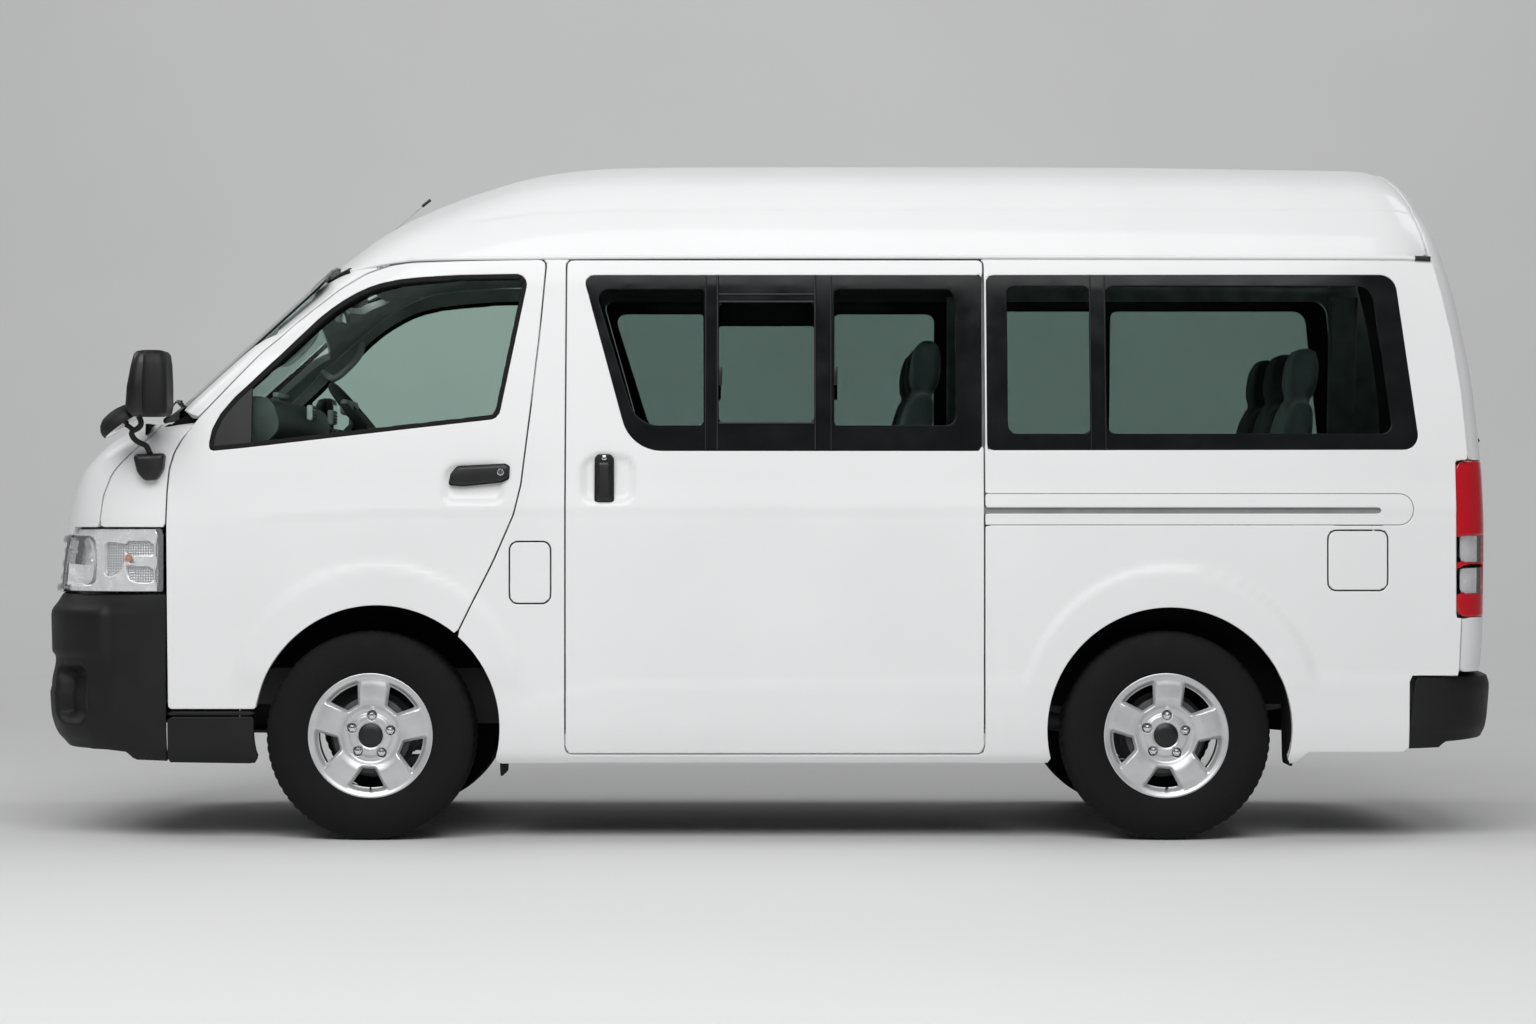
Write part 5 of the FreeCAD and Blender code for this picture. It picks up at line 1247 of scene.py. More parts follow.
def wheels():
    face = wheel_face()
    tread = tyre_grid()
    rows, count = tread.shape[:2]
    tyre_faces = [(here + j, here + count + j, here + count + (j + 1) % count, here + (j + 1) % count)
                  for here in range(0, (rows - 1) * count, count) for j in range(count)]
    tyre_points = [tuple(p) for p in tread.reshape(-1, 3)]
    for axle_name, x in (("front", FRONT_AXLE), ("rear", REAR_AXLE)):
        for side, side_name in SIDES:
            name = f"{axle_name}_{side_name}"
            body = f"{name}_wheel"
            middle = Matrix.Translation((x, side * WHEEL_Y, TYRE_R))
            mirror = middle @ Matrix.Diagonal((1, -side, 1, 1))
            tyre = Shape()
            tyre.add(tyre_points, tyre_faces, 0, mirror)
            tyre.build(f"{name}_tyre_tread", [TYRE], body, "tyre", (f"{name}_tyre",), 28)
            lip = mirror @ Matrix.Translation((0, -FACE_Y, 0))
            points, tris, normals, _ = placed(face, lip)
            dress(make_mesh(f"{name}_wheel_face", points, tris, normals, [ALLOY]), body,
                  (f"{name}_rim",))
            wheel_fittings(name, body, lip)


def wheel_fittings(name, body, lip):
    """Barrel, hub cap, nuts with a ring of painted shade round each, valve and brake drum of one wheel. Local
    -Y is outward at lip.
    """
    outward = lip @ Matrix.Rotation(math.radians(90), 4, "X")
    parts = Shape()
    barrel = [(0.2035, 0.001), (0.2035, -0.006), (0.196, -0.01), (0.188, -0.022), (0.183, -0.05),
              (0.181, -0.13),
              (0.19, -0.146), (0.2035, -0.16), (0.2, -0.162), (0.186, -0.148), (0.177, -0.131),
              (0.178, -0.05),
              (0.183, -0.024), (0.19, -0.009), (0.199, 0.0)]
    parts.turned(barrel, 0, outward, 96, cap=False)
    parts.turned([(0.001, -0.004), (0.02, -0.0045), (0.034, -0.007), (0.0395, -0.011), (0.04, -0.02)], 1,
                 outward, 48)
    parts.turned([(0.105, -0.04), (0.125, -0.045), (0.127, -0.085), (0.04, -0.088), (0.04, -0.036)], 2,
                 outward, 64)
    for angle in NUT_ANGLES:
        at = outward @ Matrix.Translation((NUT_RING * math.cos(angle), NUT_RING * math.sin(angle), -0.02))
        parts.turned([(0.0125, 0.0), (0.0125, 0.004), (0.0098, 0.0045), (0.0098, 0.013), (0.0075, 0.0165),
                      (0.003, 0.018), (0.0001, 0.018)], 3, at, 6)
        # A dark steel ring in the hollow round each nut, painted shade.
        parts.turned([(0.0165, -0.0005), (0.015, 0.003), (0.0132, 0.004), (0.0122, 0.001)], 2, at, 24)
    parts.tube([(0, -0.172, -0.012), (0.001, -0.17, 0.003), (0.002, -0.169, 0.012)], 0.0035, 4, outward)
    parts.build(f"{name}_wheel_fittings", [ALLOY, SATIN, DARK_STEEL, CHROME, TRIM], body, "alloy", (), 30)


# ---------------------------------------------------------------- bumpers, lamps and grille
LAMP_END = 0.69  # how far from the middle a headlamp starts
LAMP_OPENINGS = (
    ((-2.4, 0.826, 0.01), (-2.4, 0.985, 0.01), (-2.188, 0.985, 0.03), (-2.178, 0.905, 0.2),
     (-2.182, 0.826, 0.02)),
    ((-2.15, 0.846, 0.012), (-2.152, 0.966, 0.01), (-2.088, 0.962, 0.015), (-2.082, 0.905, 0.05),
     (-2.104, 0.858, 0.015)),
    ((-2.076, 0.921, 0.004), (-2.078, 0.968, 0.006), (-1.98, 0.968, 0.004), (-1.98, 0.921, 0.004)),
    ((-2.066, 0.848, 0.012), (-2.078, 0.886, 0.006), (-1.98, 0.886, 0.004), (-1.98, 0.832, 0.008),
     (-2.05, 0.834, 0.01)),
    ((-2.078, 0.893, 0.003), (-2.078, 0.915, 0.003), (-2.05, 0.915, 0.003), (-2.05, 0.893, 0.003)),
)
# x, z of each bumper's lower edge
FRONT_BUMPER_FOOT = (
    (-2.45, 0.335), (-2.37, 0.308), (-2.3, 0.292), (-2.16, 0.291), (-2.075, 0.283), (-2.052, 0.258),
    (-1.9, 0.254),
)
REAR_BUMPER_FOOT = ((1.9, 0.292), (2.17, 0.3), (2.185, 0.318), (2.3, 0.324), (2.42, 0.33))
SILL_STRIPS = (
    # outline, how deep the strip lies
    (((-1.936, 0.25, 0.004), (-1.936, 0.399, 0.004), (-1.6, 0.399, 0.004), (-1.6, 0.245, 0.004)), 0.002),
    (((-1.936, 0.404, 0.002), (-1.936, 0.4195, 0.002), (-1.6, 0.4195, 0.002), (-1.6, 0.404, 0.002)), 0.006),
)
FOG_HOLLOW = ((-2.315, 0.384, 0.03), (-2.322, 0.56, 0.03), (-2.206, 0.566, 0.03), (-2.202, 0.378, 0.04))


def pushed(sheet, amount):
    """The same sheet with its points moved along their normals, and its normals worked out again."""
    points = sheet.points + sheet.normals * amount[:, None]
    a, b, c = (points[sheet.tris[:, i]] for i in range(3))
    flat = np.cross(b - a, c - a)
    normals = np.zeros_like(points)
    for i in range(3):
        np.add.at(normals, sheet.tris[:, i], flat)
    made = object.__new__(Sheet)
    made.points, made.tris, made.normals = points, sheet.tris, unit(normals)
    if (made.normals * sheet.normals).sum() < 0:
        made.normals = -made.normals
    return made


def bumper_relief(p):
    x, y, z = p.T
    wide = np.abs(y)
    rise = -0.05 * ramp(np.where(wide > 0.4, inside(FOG_HOLLOW, x, z), -1.0), 0.014)
    band = ramp(z - 0.585, 0.02) * ramp(0.775 - z, 0.05)
    rise += 0.012 * band * ramp(-2.128 - x, 0.018) * (1 - 0.35 * ramp(0.3 - wide, 0.05))
    rise -= 0.012 * ramp(z - 0.5, 0.012) * ramp(0.59 - z, 0.012) * ramp(0.52 - wide, 0.04)
    rise += 0.006 * ramp(0.49 - z, 0.02) * ramp(z - 0.3, 0.04) * ramp(-2.15 - x, 0.05)
    return rise


def ledge(name, outer, inner):
    """A strip between two level lines of as many points."""
    count = len(outer)
    strip = Shape()
    strip.add(outer + inner, [(i, i + 1, count + i + 1, count + i) for i in range(count - 1)])
    strip.build(name, [TRIM], "body", "black_plastic")


def bumpers(side_sheets):
    front = fan_sheet(front_bumper_field, -1, 0.236, 0.8, 74, 0.0, BUMPER_STEP)
    front = pushed(front, bumper_relief(front.points))
    area = both(under_z(0.7965), front_of(BUMPER_JOINT_X), above(FRONT_BUMPER_FOOT))
    cut_piece("front_bumper_cover", front, [area], TRIM, "black_plastic", 0.012, nodes=("front_bumper",),
              roll=0.002,
              ring=0.006)
    ledge("front_bumper_shelf", [(x, y, 0.7945) for x, y in bumper_outline(front_bumper_field, 0.795, -1)],
          [(x + 0.03, y * 0.96, 0.799) for x, y in bumper_outline(nose_field, 0.8, -1)])
    rear = fan_sheet(rear_bumper_field, 1, 0.285, 0.536, 74, 0.0, BUMPER_STEP)
    edge = line(((0.28, 2.058), (0.5, 2.083), (0.54, 2.092)))
    area = both(lambda p: p[:, 0] - edge(p[:, 2]), under_z(0.528), above(REAR_BUMPER_FOOT))
    cut_piece("rear_bumper_cover", rear, [area], TRIM, "black_plastic", 0.014, nodes=("rear_bumper",),
              roll=0.003,
              ring=0.008)
    rim = bumper_outline(rear_bumper_field, 0.5265, 1)
    ledge("rear_bumper_step", [(x, y, 0.5265) for x, y in rim],
          [(x - 0.075, y * 0.93, 0.532) for x, y in rim])
    for sheet, name in side_sheets:
        strips = [cut_panel(sheet, both(side_view(corners), off(front_arch, 0.004)), 0.02, sink=sink)
                  for corners, sink in SILL_STRIPS]
        panel(f"sill_trim_{name}", strips, TRIM, nodes=("corner_trims",))
        cut_piece(f"rail_channel_{name}", sheet, [grown(side_view(RAIL_SLOT), 0.006)], LIGHT_GREY,
                  "trim_grey", 0.004,
                  roll=0, sink=0.014)


def bumper_outline(field, height, way, count=75):
    """Where a form's surface lies at one height, from side to side."""
    turn = np.radians(np.linspace(-74, 74, count))
    starts = np.stack([np.full(count, ray_start(way)), np.zeros(count), np.full(count, height)], -1)
    ways = np.stack([way * np.cos(turn), np.sin(turn), np.zeros(count)], -1)
    points, _ = cast(field, starts, ways, 0.05, 2.0)
    return [(p[0], p[1]) for p in points]


def front_face(nose):
    """Headlamps and grille."""
    outline = ((-2.42, LAMP_FOOT, 0), (-2.42, LAMP_HEAD, 0), (-2.25, LAMP_HEAD - 0.001, 0.05),
               (-1.945, LAMP_HEAD, 0.006), (-1.945, LAMP_FOOT, 0.006))
    area = both(side_view(outline), beyond_y(LAMP_END))
    inner = grown(area, -0.005)
    within = both(inner, front_of(-1.968))
    cut_piece("headlamp_lenses", nose, [grown(area, -0.003)], LENS_CLEAR, "lamp_clear", 0.004,
              nodes=("headlamps",),
              roll=0.0015, sink=0.001)
    cut_piece("headlamp_walls", nose, [both(area, off(inner, 0.0))], SEAL, "lamp_clear", 0.075,
              inner=LAMP_WHITE,
              rim=LAMP_WHITE, roll=0, sink=0.003)
    strip = grown(both(area, rear_of(-1.966)), -0.002)
    cut_piece("headlamp_strip", nose, [strip], SATIN, "black_plastic", 0.004, roll=0, sink=0.006)
    bezel = both(within, *[off(side_view(corners), 0.0) for corners in LAMP_OPENINGS])
    cut_piece("headlamp_bezels", nose, [bezel], LAMP_WHITE, "lamp_clear", 0.016, roll=0.002, ring=0.005,
              sink=0.01)
    for name, part, look, sink in (("headlamp_bowls", front_of(-2.17), LAMP_WHITE, 0.055),
                                   ("headlamp_reflectors", rear_of(-2.168), REFLECTOR, 0.03)):
        cut_piece(name, nose, [both(within, part)], look, "lamp_clear", 0.004, roll=0, sink=sink)
    lamps = Shape()
    for side, _ in SIDES:
        lamp_fittings(lamps, side)
    lamps.build("headlamp_fittings", [LAMP_WHITE, LENS_ORANGE], "body", "lamp_clear")
    face = both(within_y(LAMP_END - 0.006), under_z(GRILLE_TOP), over_z(LAMP_FOOT), front_of(-1.95))
    # The grille's back is near-black, partly painted shade.
    cut_piece("grille_back", nose, [face], NEAR_BLACK_AND_SHADE, "black_plastic", 0.01, nodes=("grille",), sink=0.035)
    frame_area = both(face, off(grown(face, -0.024), 0.0))
    bars = [cut_panel(nose, frame_area, 0.028, roll=0.003, ring=0.008, sink=-0.006)]
    for height in (0.848, 0.892, 0.936):
        slat = both(face, lambda p, height=height: 0.011 - np.abs(p[:, 2] - height))
        bars.append(cut_panel(nose, slat, 0.022, roll=0.003, ring=0.006, sink=0.004))
    panel("grille_bars", bars, GRILLE_SILVER)


def lamp_fittings(lamps, side):
    """The bowl, the bulb's holder and the orange marker of one headlamp."""
    at = axis_frame((-2.21, side * 0.706, 0.9), (-0.9, side * 0.42, 0.0))
    bowl = [(0.014, -0.055), (0.03, -0.05), (0.055, -0.03), (0.072, -0.006), (0.078, 0.006), (0.074, 0.008)]
    lamps.turned(bowl, 0, at, 40, cap=False)
    lamps.turned([(0.01, -0.055), (0.01, -0.012), (0.006, -0.004), (0.0005, -0.002)], 0, at, 20)
    lamps.turned([(0.012, 0.0), (0.014, 0.01), (0.013, 0.024), (0.008, 0.032), (0.001, 0.034)], 1,
                 axis_frame((-2.064, side * 0.795, 0.909), (0, side, 0)), 20)


def tail_lamps(tail):
    low, high = TAIL_LAMP_Z
    outline = ((TAIL_LAMP_X, low, 0.035), (TAIL_LAMP_X, high, 0.03), (2.33, high, 0.03), (2.6, 1.1, 0),
               (2.6, low, 0))
    area = both(side_view(outline), beyond_y(TAIL_LAMP_Y))
    clear = [both(side_view(((2.24, z0, 0.008), (2.24, z1, 0.008), (2.6, z1, 0), (2.6, z0, 0))),
                  beyond_y(TAIL_LAMP_Y + 0.02)) for z0, z1 in ((0.897, 0.985), (0.795, 0.88))]
    red = both(area, *[off(field, 0.0) for field in clear])
    cut_piece("tail_lamp_red", tail, [red], LENS_RED, "lamp_red", 0.006, nodes=("tail_lamps",), roll=0.003,
              ring=0.008)
    cut_piece("tail_lamp_clear", tail, clear, LENS_CLEAR, "lamp_red", 0.005, roll=0.001)
    backs = [cut_panel(tail, grown(field, -0.002), 0.004, roll=0, sink=0.022) for field in clear]
    backs.append(cut_panel(tail, grown(red, -0.004), 0.004, roll=0, sink=0.026))
    panel("tail_lamp_back", backs, LAMP_WHITE)
    border = both(area, off(grown(area, -0.005), 0.0))
    cut_piece("tail_lamp_seal", tail, [border], SEAL, "lamp_red", 0.045, roll=0, sink=0.007)


# ---------------------------------------------------------------- mirrors and handles
def oval_ring(x0, x1, y0, y1, z, radius, count=40):
    """A rounded rectangle at one height."""
    radius = min(radius, 0.49 * (x1 - x0), 0.49 * (y1 - y0))
    corners = ((x0, y0, radius), (x1, y0, radius), (x1, y1, radius), (x0, y1, radius))
    route = rounded(corners)
    route = np.concatenate([route, route[:1]])
    length = np.concatenate([[0], np.cumsum(np.linalg.norm(np.diff(route, axis=0), axis=1))])
    at = np.linspace(0, length[-1], count, endpoint=False)
    return [(np.interp(t, length, route[:, 0]), np.interp(t, length, route[:, 1]), z) for t in at]


def stacked(shape, sections, slot=0):
    """A form through rounded rectangles of (height, x0, x1, y0, y1, corner radius)."""
    shape.rings([oval_ring(x0, x1, y0, y1, z, radius) for z, x0, x1, y0, y1, radius in sections], slot)


def prism(shape, corners, near, far, slot=0, edge=0.003, place=None):
    """An outline in (x, z) made solid from y near to y far, with a rounded edge on the near side."""
    route = rounded(corners)
    middle = route.mean(axis=0)
    size = np.abs(route - middle).max(axis=0)
    rings = []
    way = 1 if far > near else -1
    for inset, depth in ((edge * 2.2, 0.0), (edge, edge * 0.25), (edge * 0.3, edge * 0.8), (0.0, edge * 1.9)):
        shrunk = middle + (route - middle) * (1 - inset / size)
        rings.append([(u, near + way * depth, v) for u, v in shrunk])
    rings.append([(u, far, v) for u, v in route])
    shape.rings(rings, slot, place)


def fender_mirror():
    shell = Shape()
    y0, y1 = -1.03, -0.862
    head = (
        # height, front, rear, how much the section draws in
        (1.364, -2.02, -1.935, 0.05), (1.3665, -2.034, -1.922, 0.02), (1.375, -2.042, -1.9125, 0.006),
        (1.395, -2.045, -1.909, 0.0), (1.46, -2.04, -1.909, 0.0), (1.53, -2.026, -1.9115, 0.004),
        (1.562, -2.018, -1.915, 0.012), (1.572, -2.01, -1.922, 0.024), (1.5765, -1.995, -1.938, 0.048),
    )
    stacked(shell, [(z, x0, -1.963, y0 + s, y1 - s, 0.052 - 0.3 * s) for z, x0, _, s in head], 0)
    stacked(shell, [(z, -1.992, x1, y0 - 0.003 + s, y1 + 0.003 - s, 0.022) for z, _, x1, s in head], 1)
    stacked(shell, [(z, -1.95, x1 - 0.001, y0 + 0.014 + s, y1 - 0.014 - s, 0.0005)
                    for z, _, x1, s in head[2:-2]], 2)
    bowl = Matrix.Translation((-2.07, -0.938, 1.35)) @ Matrix.Rotation(math.radians(-35), 4, "Y")
    dome = [(0.0005, 0.04), (0.022, 0.039), (0.045, 0.034), (0.062, 0.022), (0.0715, 0.006), (0.0735, -0.006),
            (0.0715, -0.016), (0.067, -0.018)]
    shell.turned(dome, 1, bowl, 48, cap=False)
    shell.turned([(0.067, -0.018), (0.064, -0.0165), (0.04, -0.0205), (0.0005, -0.023)], 2, bowl, 48,
                 cap=False)
    stem = [(-1.988, -0.852, 1.246), (-1.998, -0.874, 1.272), (-2.02, -0.896, 1.285), (-2.034, -0.912, 1.3),
            (-2.034, -0.926, 1.317), (-2.012, -0.936, 1.329), (-2.003, -0.94, 1.345), (-2.012, -0.944, 1.372)]
    shell.tube(stem, 0.0092, 1)
    shell.tube([(-2.03, -0.926, 1.322), (-2.044, -0.934, 1.334), (-2.06, -0.938, 1.342)], 0.008, 1)
    foot = ((-2.044, 1.246, 0.012), (-1.94, 1.25, 0.012), (-1.946, 1.196, 0.02), (-1.966, 1.163, 0.02),
            (-2.006, 1.16, 0.022), (-2.03, 1.188, 0.02))
    prism(shell, foot, -0.872, -0.815, 0, 0.008)
    shell.build("fender_mirror_parts", [SATIN, TRIM, CHROME], "body", "mirror_shell", ("fender_mirror",), 40)


def door_mirror():
    shell = Shape()
    y0, y1 = 0.872, 1.032
    head = ((1.212, -1.652, -1.612, 0.04), (1.216, -1.664, -1.606, 0.016), (1.232, -1.672, -1.602, 0.003),
            (1.3, -1.6755, -1.602, 0.0), (1.4, -1.674, -1.602, 0.0), (1.455, -1.668, -1.604, 0.004),
            (1.473, -1.66, -1.608, 0.016), (1.48, -1.645, -1.618, 0.04))
    stacked(shell, [(z, x0, -1.626, y0 + s, y1 - s, 0.03) for z, x0, _, s in head], 0)
    stacked(shell, [(z, -1.628, x1, y0 - 0.003 + s, y1 + 0.003 - s, 0.012) for z, _, x1, s in head], 1)
    stacked(shell, [(z, -1.606, x1 + 0.0012, y0 + 0.012 + s, y1 - 0.012 - s, 0.0005)
                    for z, _, x1, s in head[2:-2]], 2)
    shell.tube([(-1.65, 0.79, 1.3), (-1.648, 0.83, 1.305), (-1.645, 0.885, 1.315)], 0.02, 1, flat=0.6)
    prism(shell, ((-1.715, 1.275, 0.01), (-1.715, 1.345, 0.02), (-1.655, 1.42, 0.02), (-1.64, 1.275, 0.01)),
          0.838, 0.79, 0, 0.004)
    shell.build("door_mirror_parts", [SATIN, TRIM, CHROME], "right_door", "mirror_shell", ("door_mirror",),
                40)


def handles():
    lever = ((-1.027, 1.15, 0.012), (-1.02, 1.18, 0.02), (-1.0, 1.204, 0.022), (-0.85, 1.2125, 0.012),
             (-0.8355, 1.205, 0.008), (-0.838, 1.172, 0.01), (-0.862, 1.16, 0.02), (-0.985, 1.1475, 0.02))
    base = ((-1.031, 1.146, 0.01), (-1.024, 1.182, 0.02), (-1.002, 1.209, 0.022), (-0.846, 1.2165, 0.012),
            (-0.832, 1.208, 0.008), (-0.834, 1.166, 0.01), (-0.858, 1.155, 0.02), (-0.985, 1.142, 0.02))
    upright = ((-0.56, 1.0905, 0.01), (-0.559, 1.234, 0.016), (-0.548, 1.2465, 0.012),
               (-0.508, 1.2465, 0.012),
               (-0.497, 1.234, 0.016), (-0.496, 1.0905, 0.01))
    grip = ((-0.553, 1.095, 0.008), (-0.549, 1.222, 0.012), (-0.507, 1.222, 0.012), (-0.503, 1.095, 0.008))
    for side, name in SIDES:
        flip = Matrix.Diagonal((1, -side, 1, 1))
        front = Shape()
        prism(front, base, -0.8415, -0.822, 1, 0.002, flip)
        prism(front, lever, -0.8535, -0.838, 0, 0.0045, flip)
        lock = flip @ axis_frame((-0.861, -0.8515, 1.189), (0, -1, 0))
        front.turned([(0.0115, 0.0), (0.0115, 0.0035), (0.0095, 0.0048), (0.0085, 0.004), (0.0005, 0.004)], 2,
                     lock, 28)
        front.block((-0.8622, -0.8566, 1.1835), (-0.8598, -0.855, 1.1945), 1, 0.0006, flip)
        front.build(f"front_handle_{name}", [SATIN, TRIM, CHROME], f"{name}_door", "black_plastic")
        slide = Shape()
        prism(slide, upright, -0.843, -0.818, 1, 0.003, flip)
        prism(slide, grip, -0.856, -0.84, 0, 0.005, flip)
        lock = flip @ axis_frame((-0.5275, -0.843, 1.2345), (0, -1, 0))
        slide.turned([(0.008, 0.0), (0.008, 0.003), (0.006, 0.004), (0.0005, 0.003)], 2, lock, 24)
        slide.build(f"sliding_handle_{name}", [SATIN, TRIM, CHROME], "body", "black_plastic")


# ---------------------------------------------------------------- roof fittings, wipers and plates
def side_y(x, z):
    """How far out the side is at a place in side view."""
    point = np.array([[x, -0.3, z]])
    hit, _ = cast(whole_field, point, np.array([[0, -1.0, 0]]), 0.0, 0.8)
    return -hit[0][1]


def roof_fittings():
    for side, name in SIDES:
        rail = Shape()
        rail.tube(on_side(side, [*GUTTER[2:-1], (2.104, 1.8835)], 0.0035), 0.0065, 0, sides=12)
        rail.tube(on_side(side, ((-1.446, 1.8145), (-1.41, 1.833), (-1.366, 1.849)), 0.005),
                  lambda t: 0.0045 + 0.0065 * t, 1)
        rail.tube(on_side(side, ((2.1, 1.8835), (2.125, 1.8825), (2.15, 1.8815)), 0.004), 0.0085, 1)
        rail.build(f"drip_rail_{name}", [PAINT, SATIN], "body", "paint")
    whip = Shape()
    y = AERIAL_Y
    whip.tube([(-1.448, y, 1.907), (-1.44, y, 1.92), (-1.412, y, 1.945)], lambda t: 0.012 - 0.007 * t)
    whip.tube([(-1.43, y, 1.93), (-1.31, y, 2.036), (-1.196, y, 2.134)], 0.0016, 1)
    whip.tube([(-1.206, y, 2.1255), (-1.191, y, 2.138), (-1.177, y, 2.149)], 0.0052)
    whip.turned([(0.022, 0.0), (0.021, 0.006), (0.014, 0.012), (0.001, 0.014)], 0,
                axis_frame((-1.452, y, 1.9), (-0.6, 0, 0.8)), 28)
    whip.build("aerial_parts", [SATIN, STEEL], "body", "black_plastic", ("aerial",))


def screen_point(y, z, proud=0.0):
    normal = Vector((-1, 0.4 * y, 1 / SCREEN_SLOPE)).normalized()
    return Vector((float(screen_x(y, z)), y, z)) + normal * proud


def wipers():
    blades = Shape()
    for pivot, tip_low, tip_high in ((0.62, -0.02, 0.6), (-0.06, -0.6, 0.02)):
        low, high = screen_point(tip_low, 1.408, 0.01), screen_point(tip_high, 1.4005, 0.01)
        middle = (tip_low + tip_high) / 2
        blades.tube([low, (low + high) / 2 + Vector((-0.001, 0, 0.002)), high], 0.0048, flat=1.6)
        blades.tube([screen_point(tip_low + 0.02, 1.412, 0.016), screen_point(middle, 1.414, 0.024),
                     screen_point(tip_high - 0.02, 1.405, 0.016)], 0.0042)
        blades.tube([screen_point(pivot, 1.368, 0.01), screen_point(pivot - 0.06, 1.376, 0.022),
                     screen_point((pivot + middle) / 2, 1.395, 0.03), screen_point(middle, 1.412, 0.026)],
                    lambda t: 0.0085 - 0.0035 * t, flat=0.6)
        blades.turned([(0.016, -0.012), (0.016, 0.006), (0.012, 0.012), (0.001, 0.014)], 0,
                      axis_frame(screen_point(pivot, 1.366, 0.004), (-0.6, 0, 0.8)), 28)
    blades.build("wiper_arms", [SATIN], "body", "black_plastic", ("wipers",))


def windscreen_cowl(count=41):
    """The strip below the windscreen, with a row of small vents."""
    cowl = Shape()
    sections = ((1.34, -0.034), (1.352, -0.01), (1.362, 0.003), (1.372, 0.002), (1.392, -0.002))
    rows = [[screen_point(y, z + 0.05 * y * y, proud) for y in np.linspace(-0.692, 0.692, count)]
            for z, proud in sections]
    faces = [(here + i, here + i + 1, here + count + i + 1, here + count + i)
             for here in range(0, (len(rows) - 1) * count, count) for i in range(count - 1)]
    cowl.add([p for row in rows for p in row], faces)
    half = Vector((0.006, 0.006, 0.003))
    for y in np.linspace(-0.6, 0.6, 31):
        if 0.05 < abs(y) < 0.5:
            at = screen_point(y, 1.36 + 0.05 * y * y, 0.004)
            cowl.block(at - half, at + half, 0, 0.001)
    cowl.build("windscreen_cowl", [TRIM], "body", "black_plastic")


def plate(low, high, way, screw_z):
    """A blank number plate with its two screws."""
    made = Shape()
    made.block(low, high, 0, 0.004)
    face = low[0] if way < 0 else high[0]
    for y in (-0.12, 0.12):
        at = axis_frame((face, y, screw_z), (way, 0, 0))
        made.turned([(0.006, 0.0), (0.006, 0.0015), (0.001, 0.0025)], 1, at, 16)
    return made


def plates():
    front = plate((-2.408, -0.17, 0.63), (-2.3985, 0.17, 0.745), -1, 0.73)
    front.build("front_plate", [PLATE_WHITE, CHROME], "body", "paint")
    rear = plate((2.396, -0.17, 0.835), (2.404, 0.17, 0.995), 1, 0.975)
    rear.block((2.385, -0.235, 1.03), (2.4115, 0.235, 1.082), 2, 0.01, steps=3)
    rear.block((2.38, -0.09, 1.018), (2.409, 0.09, 1.034), 3, 0.004)
    for y in (-0.16, 0.16):
        rear.block((2.39, y - 0.03, 1.022), (2.408, y + 0.03, 1.031), 4, 0.002)
    rear.build("rear_plate_and_handle", [PLATE_WHITE, CHROME, PAINT, TRIM, LENS_CLEAR], "rear_door", "paint")
    wiper = Shape()
    wiper.turned([(0.026, -0.02), (0.026, 0.01), (0.018, 0.018), (0.001, 0.02)], 0,
                 axis_frame((2.372, 0.0, 1.18), (1, 0, 0.15)), 28)
    wiper.tube([(2.388, 0.0, 1.182), (2.386, -0.1, 1.226), (2.377, -0.24, 1.285)],
               lambda t: 0.0085 - 0.0035 * t,
               flat=0.7)
    wiper.tube([(2.381, -0.06, 1.262), (2.376, -0.22, 1.292), (2.366, -0.42, 1.3)], 0.006, flat=1.5)
    wiper.build("rear_wiper", [SATIN], "rear_door", "black_plastic")


# ---------------------------------------------------------------- under the body
KEPT = (
    # node and material of each CAD piece that is shown as it is
    # the wheel housings and the cab's front take the near-black that is partly painted shade
    ("frame", DARK_STEEL), ("tow_eyes", DARK_STEEL), ("floor", FLOOR_MAT), ("wheel_housings", NEAR_BLACK_AND_SHADE),
    ("engine", DARK_STEEL), ("cab_front", NEAR_BLACK_AND_SHADE), ("front_suspension", DARK_STEEL), ("rear_axle", DARK_STEEL),
    ("exhaust", STEEL), ("fuel_tank", DARK_STEEL), ("spare_wheel", TYRE), ("knuckle_left", DARK_STEEL),
    ("knuckle_right", DARK_STEEL), ("dashboard", GREY),
)


def kept_nodes():
    for name, made in KEPT:
        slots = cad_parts[name].data.materials
        slots.clear()
        slots.append(made)


def mud_flaps():
    flaps = Shape()
    for x, low, top, reach in ((-0.868, 0.206, 0.53, 0.5), (1.686, 0.238, 0.53, 0.6)):
        for side, _ in SIDES:
            inner, outer = sorted((side * reach, side * 0.815))
            ring = rounded(((inner, low, 0.03), (outer, low, 0.03), (outer, top, 0.002), (inner, top, 0.002)))
            flaps.rings([[(x + t + 0.02 * (top - v), u, v) for u, v in ring] for t in (-0.003, 0.003)])
    flaps.build("mud_flaps", [SEAL], "body", "black_plastic")


# ---------------------------------------------------------------- inside
ROW_PLACES = (("left", -0.47), ("middle", 0.0), ("right", 0.47))
SEAT_ROWS = (
    # name, CAD node, front edge of the cushions, foot, cushion top, back top, places across
    ("front_seat", "front_seats", -1.344, 0.818, 1.0, 1.44, (("left", -0.37), ("right", 0.37))),
    ("second_row", "second_row_seats", -0.114, 0.59, 1.01, 1.466, ROW_PLACES),
    ("rear_row", "rear_row_seats", 1.136, 0.59, 1.01, 1.44, ROW_PLACES),
)
# x, foot, top and half width of the cushion's sections
CUSHION = (
    (0.004, -0.085, -0.045, 0.19), (0.012, -0.1, -0.022, 0.208), (0.045, -0.108, -0.006, 0.216),
    (0.14, -0.11, -0.006, 0.218), (0.24, -0.11, -0.012, 0.218), (0.36, -0.11, -0.014, 0.216),
    (0.46, -0.108, -0.012, 0.212), (0.5, -0.1, -0.02, 0.2),
)
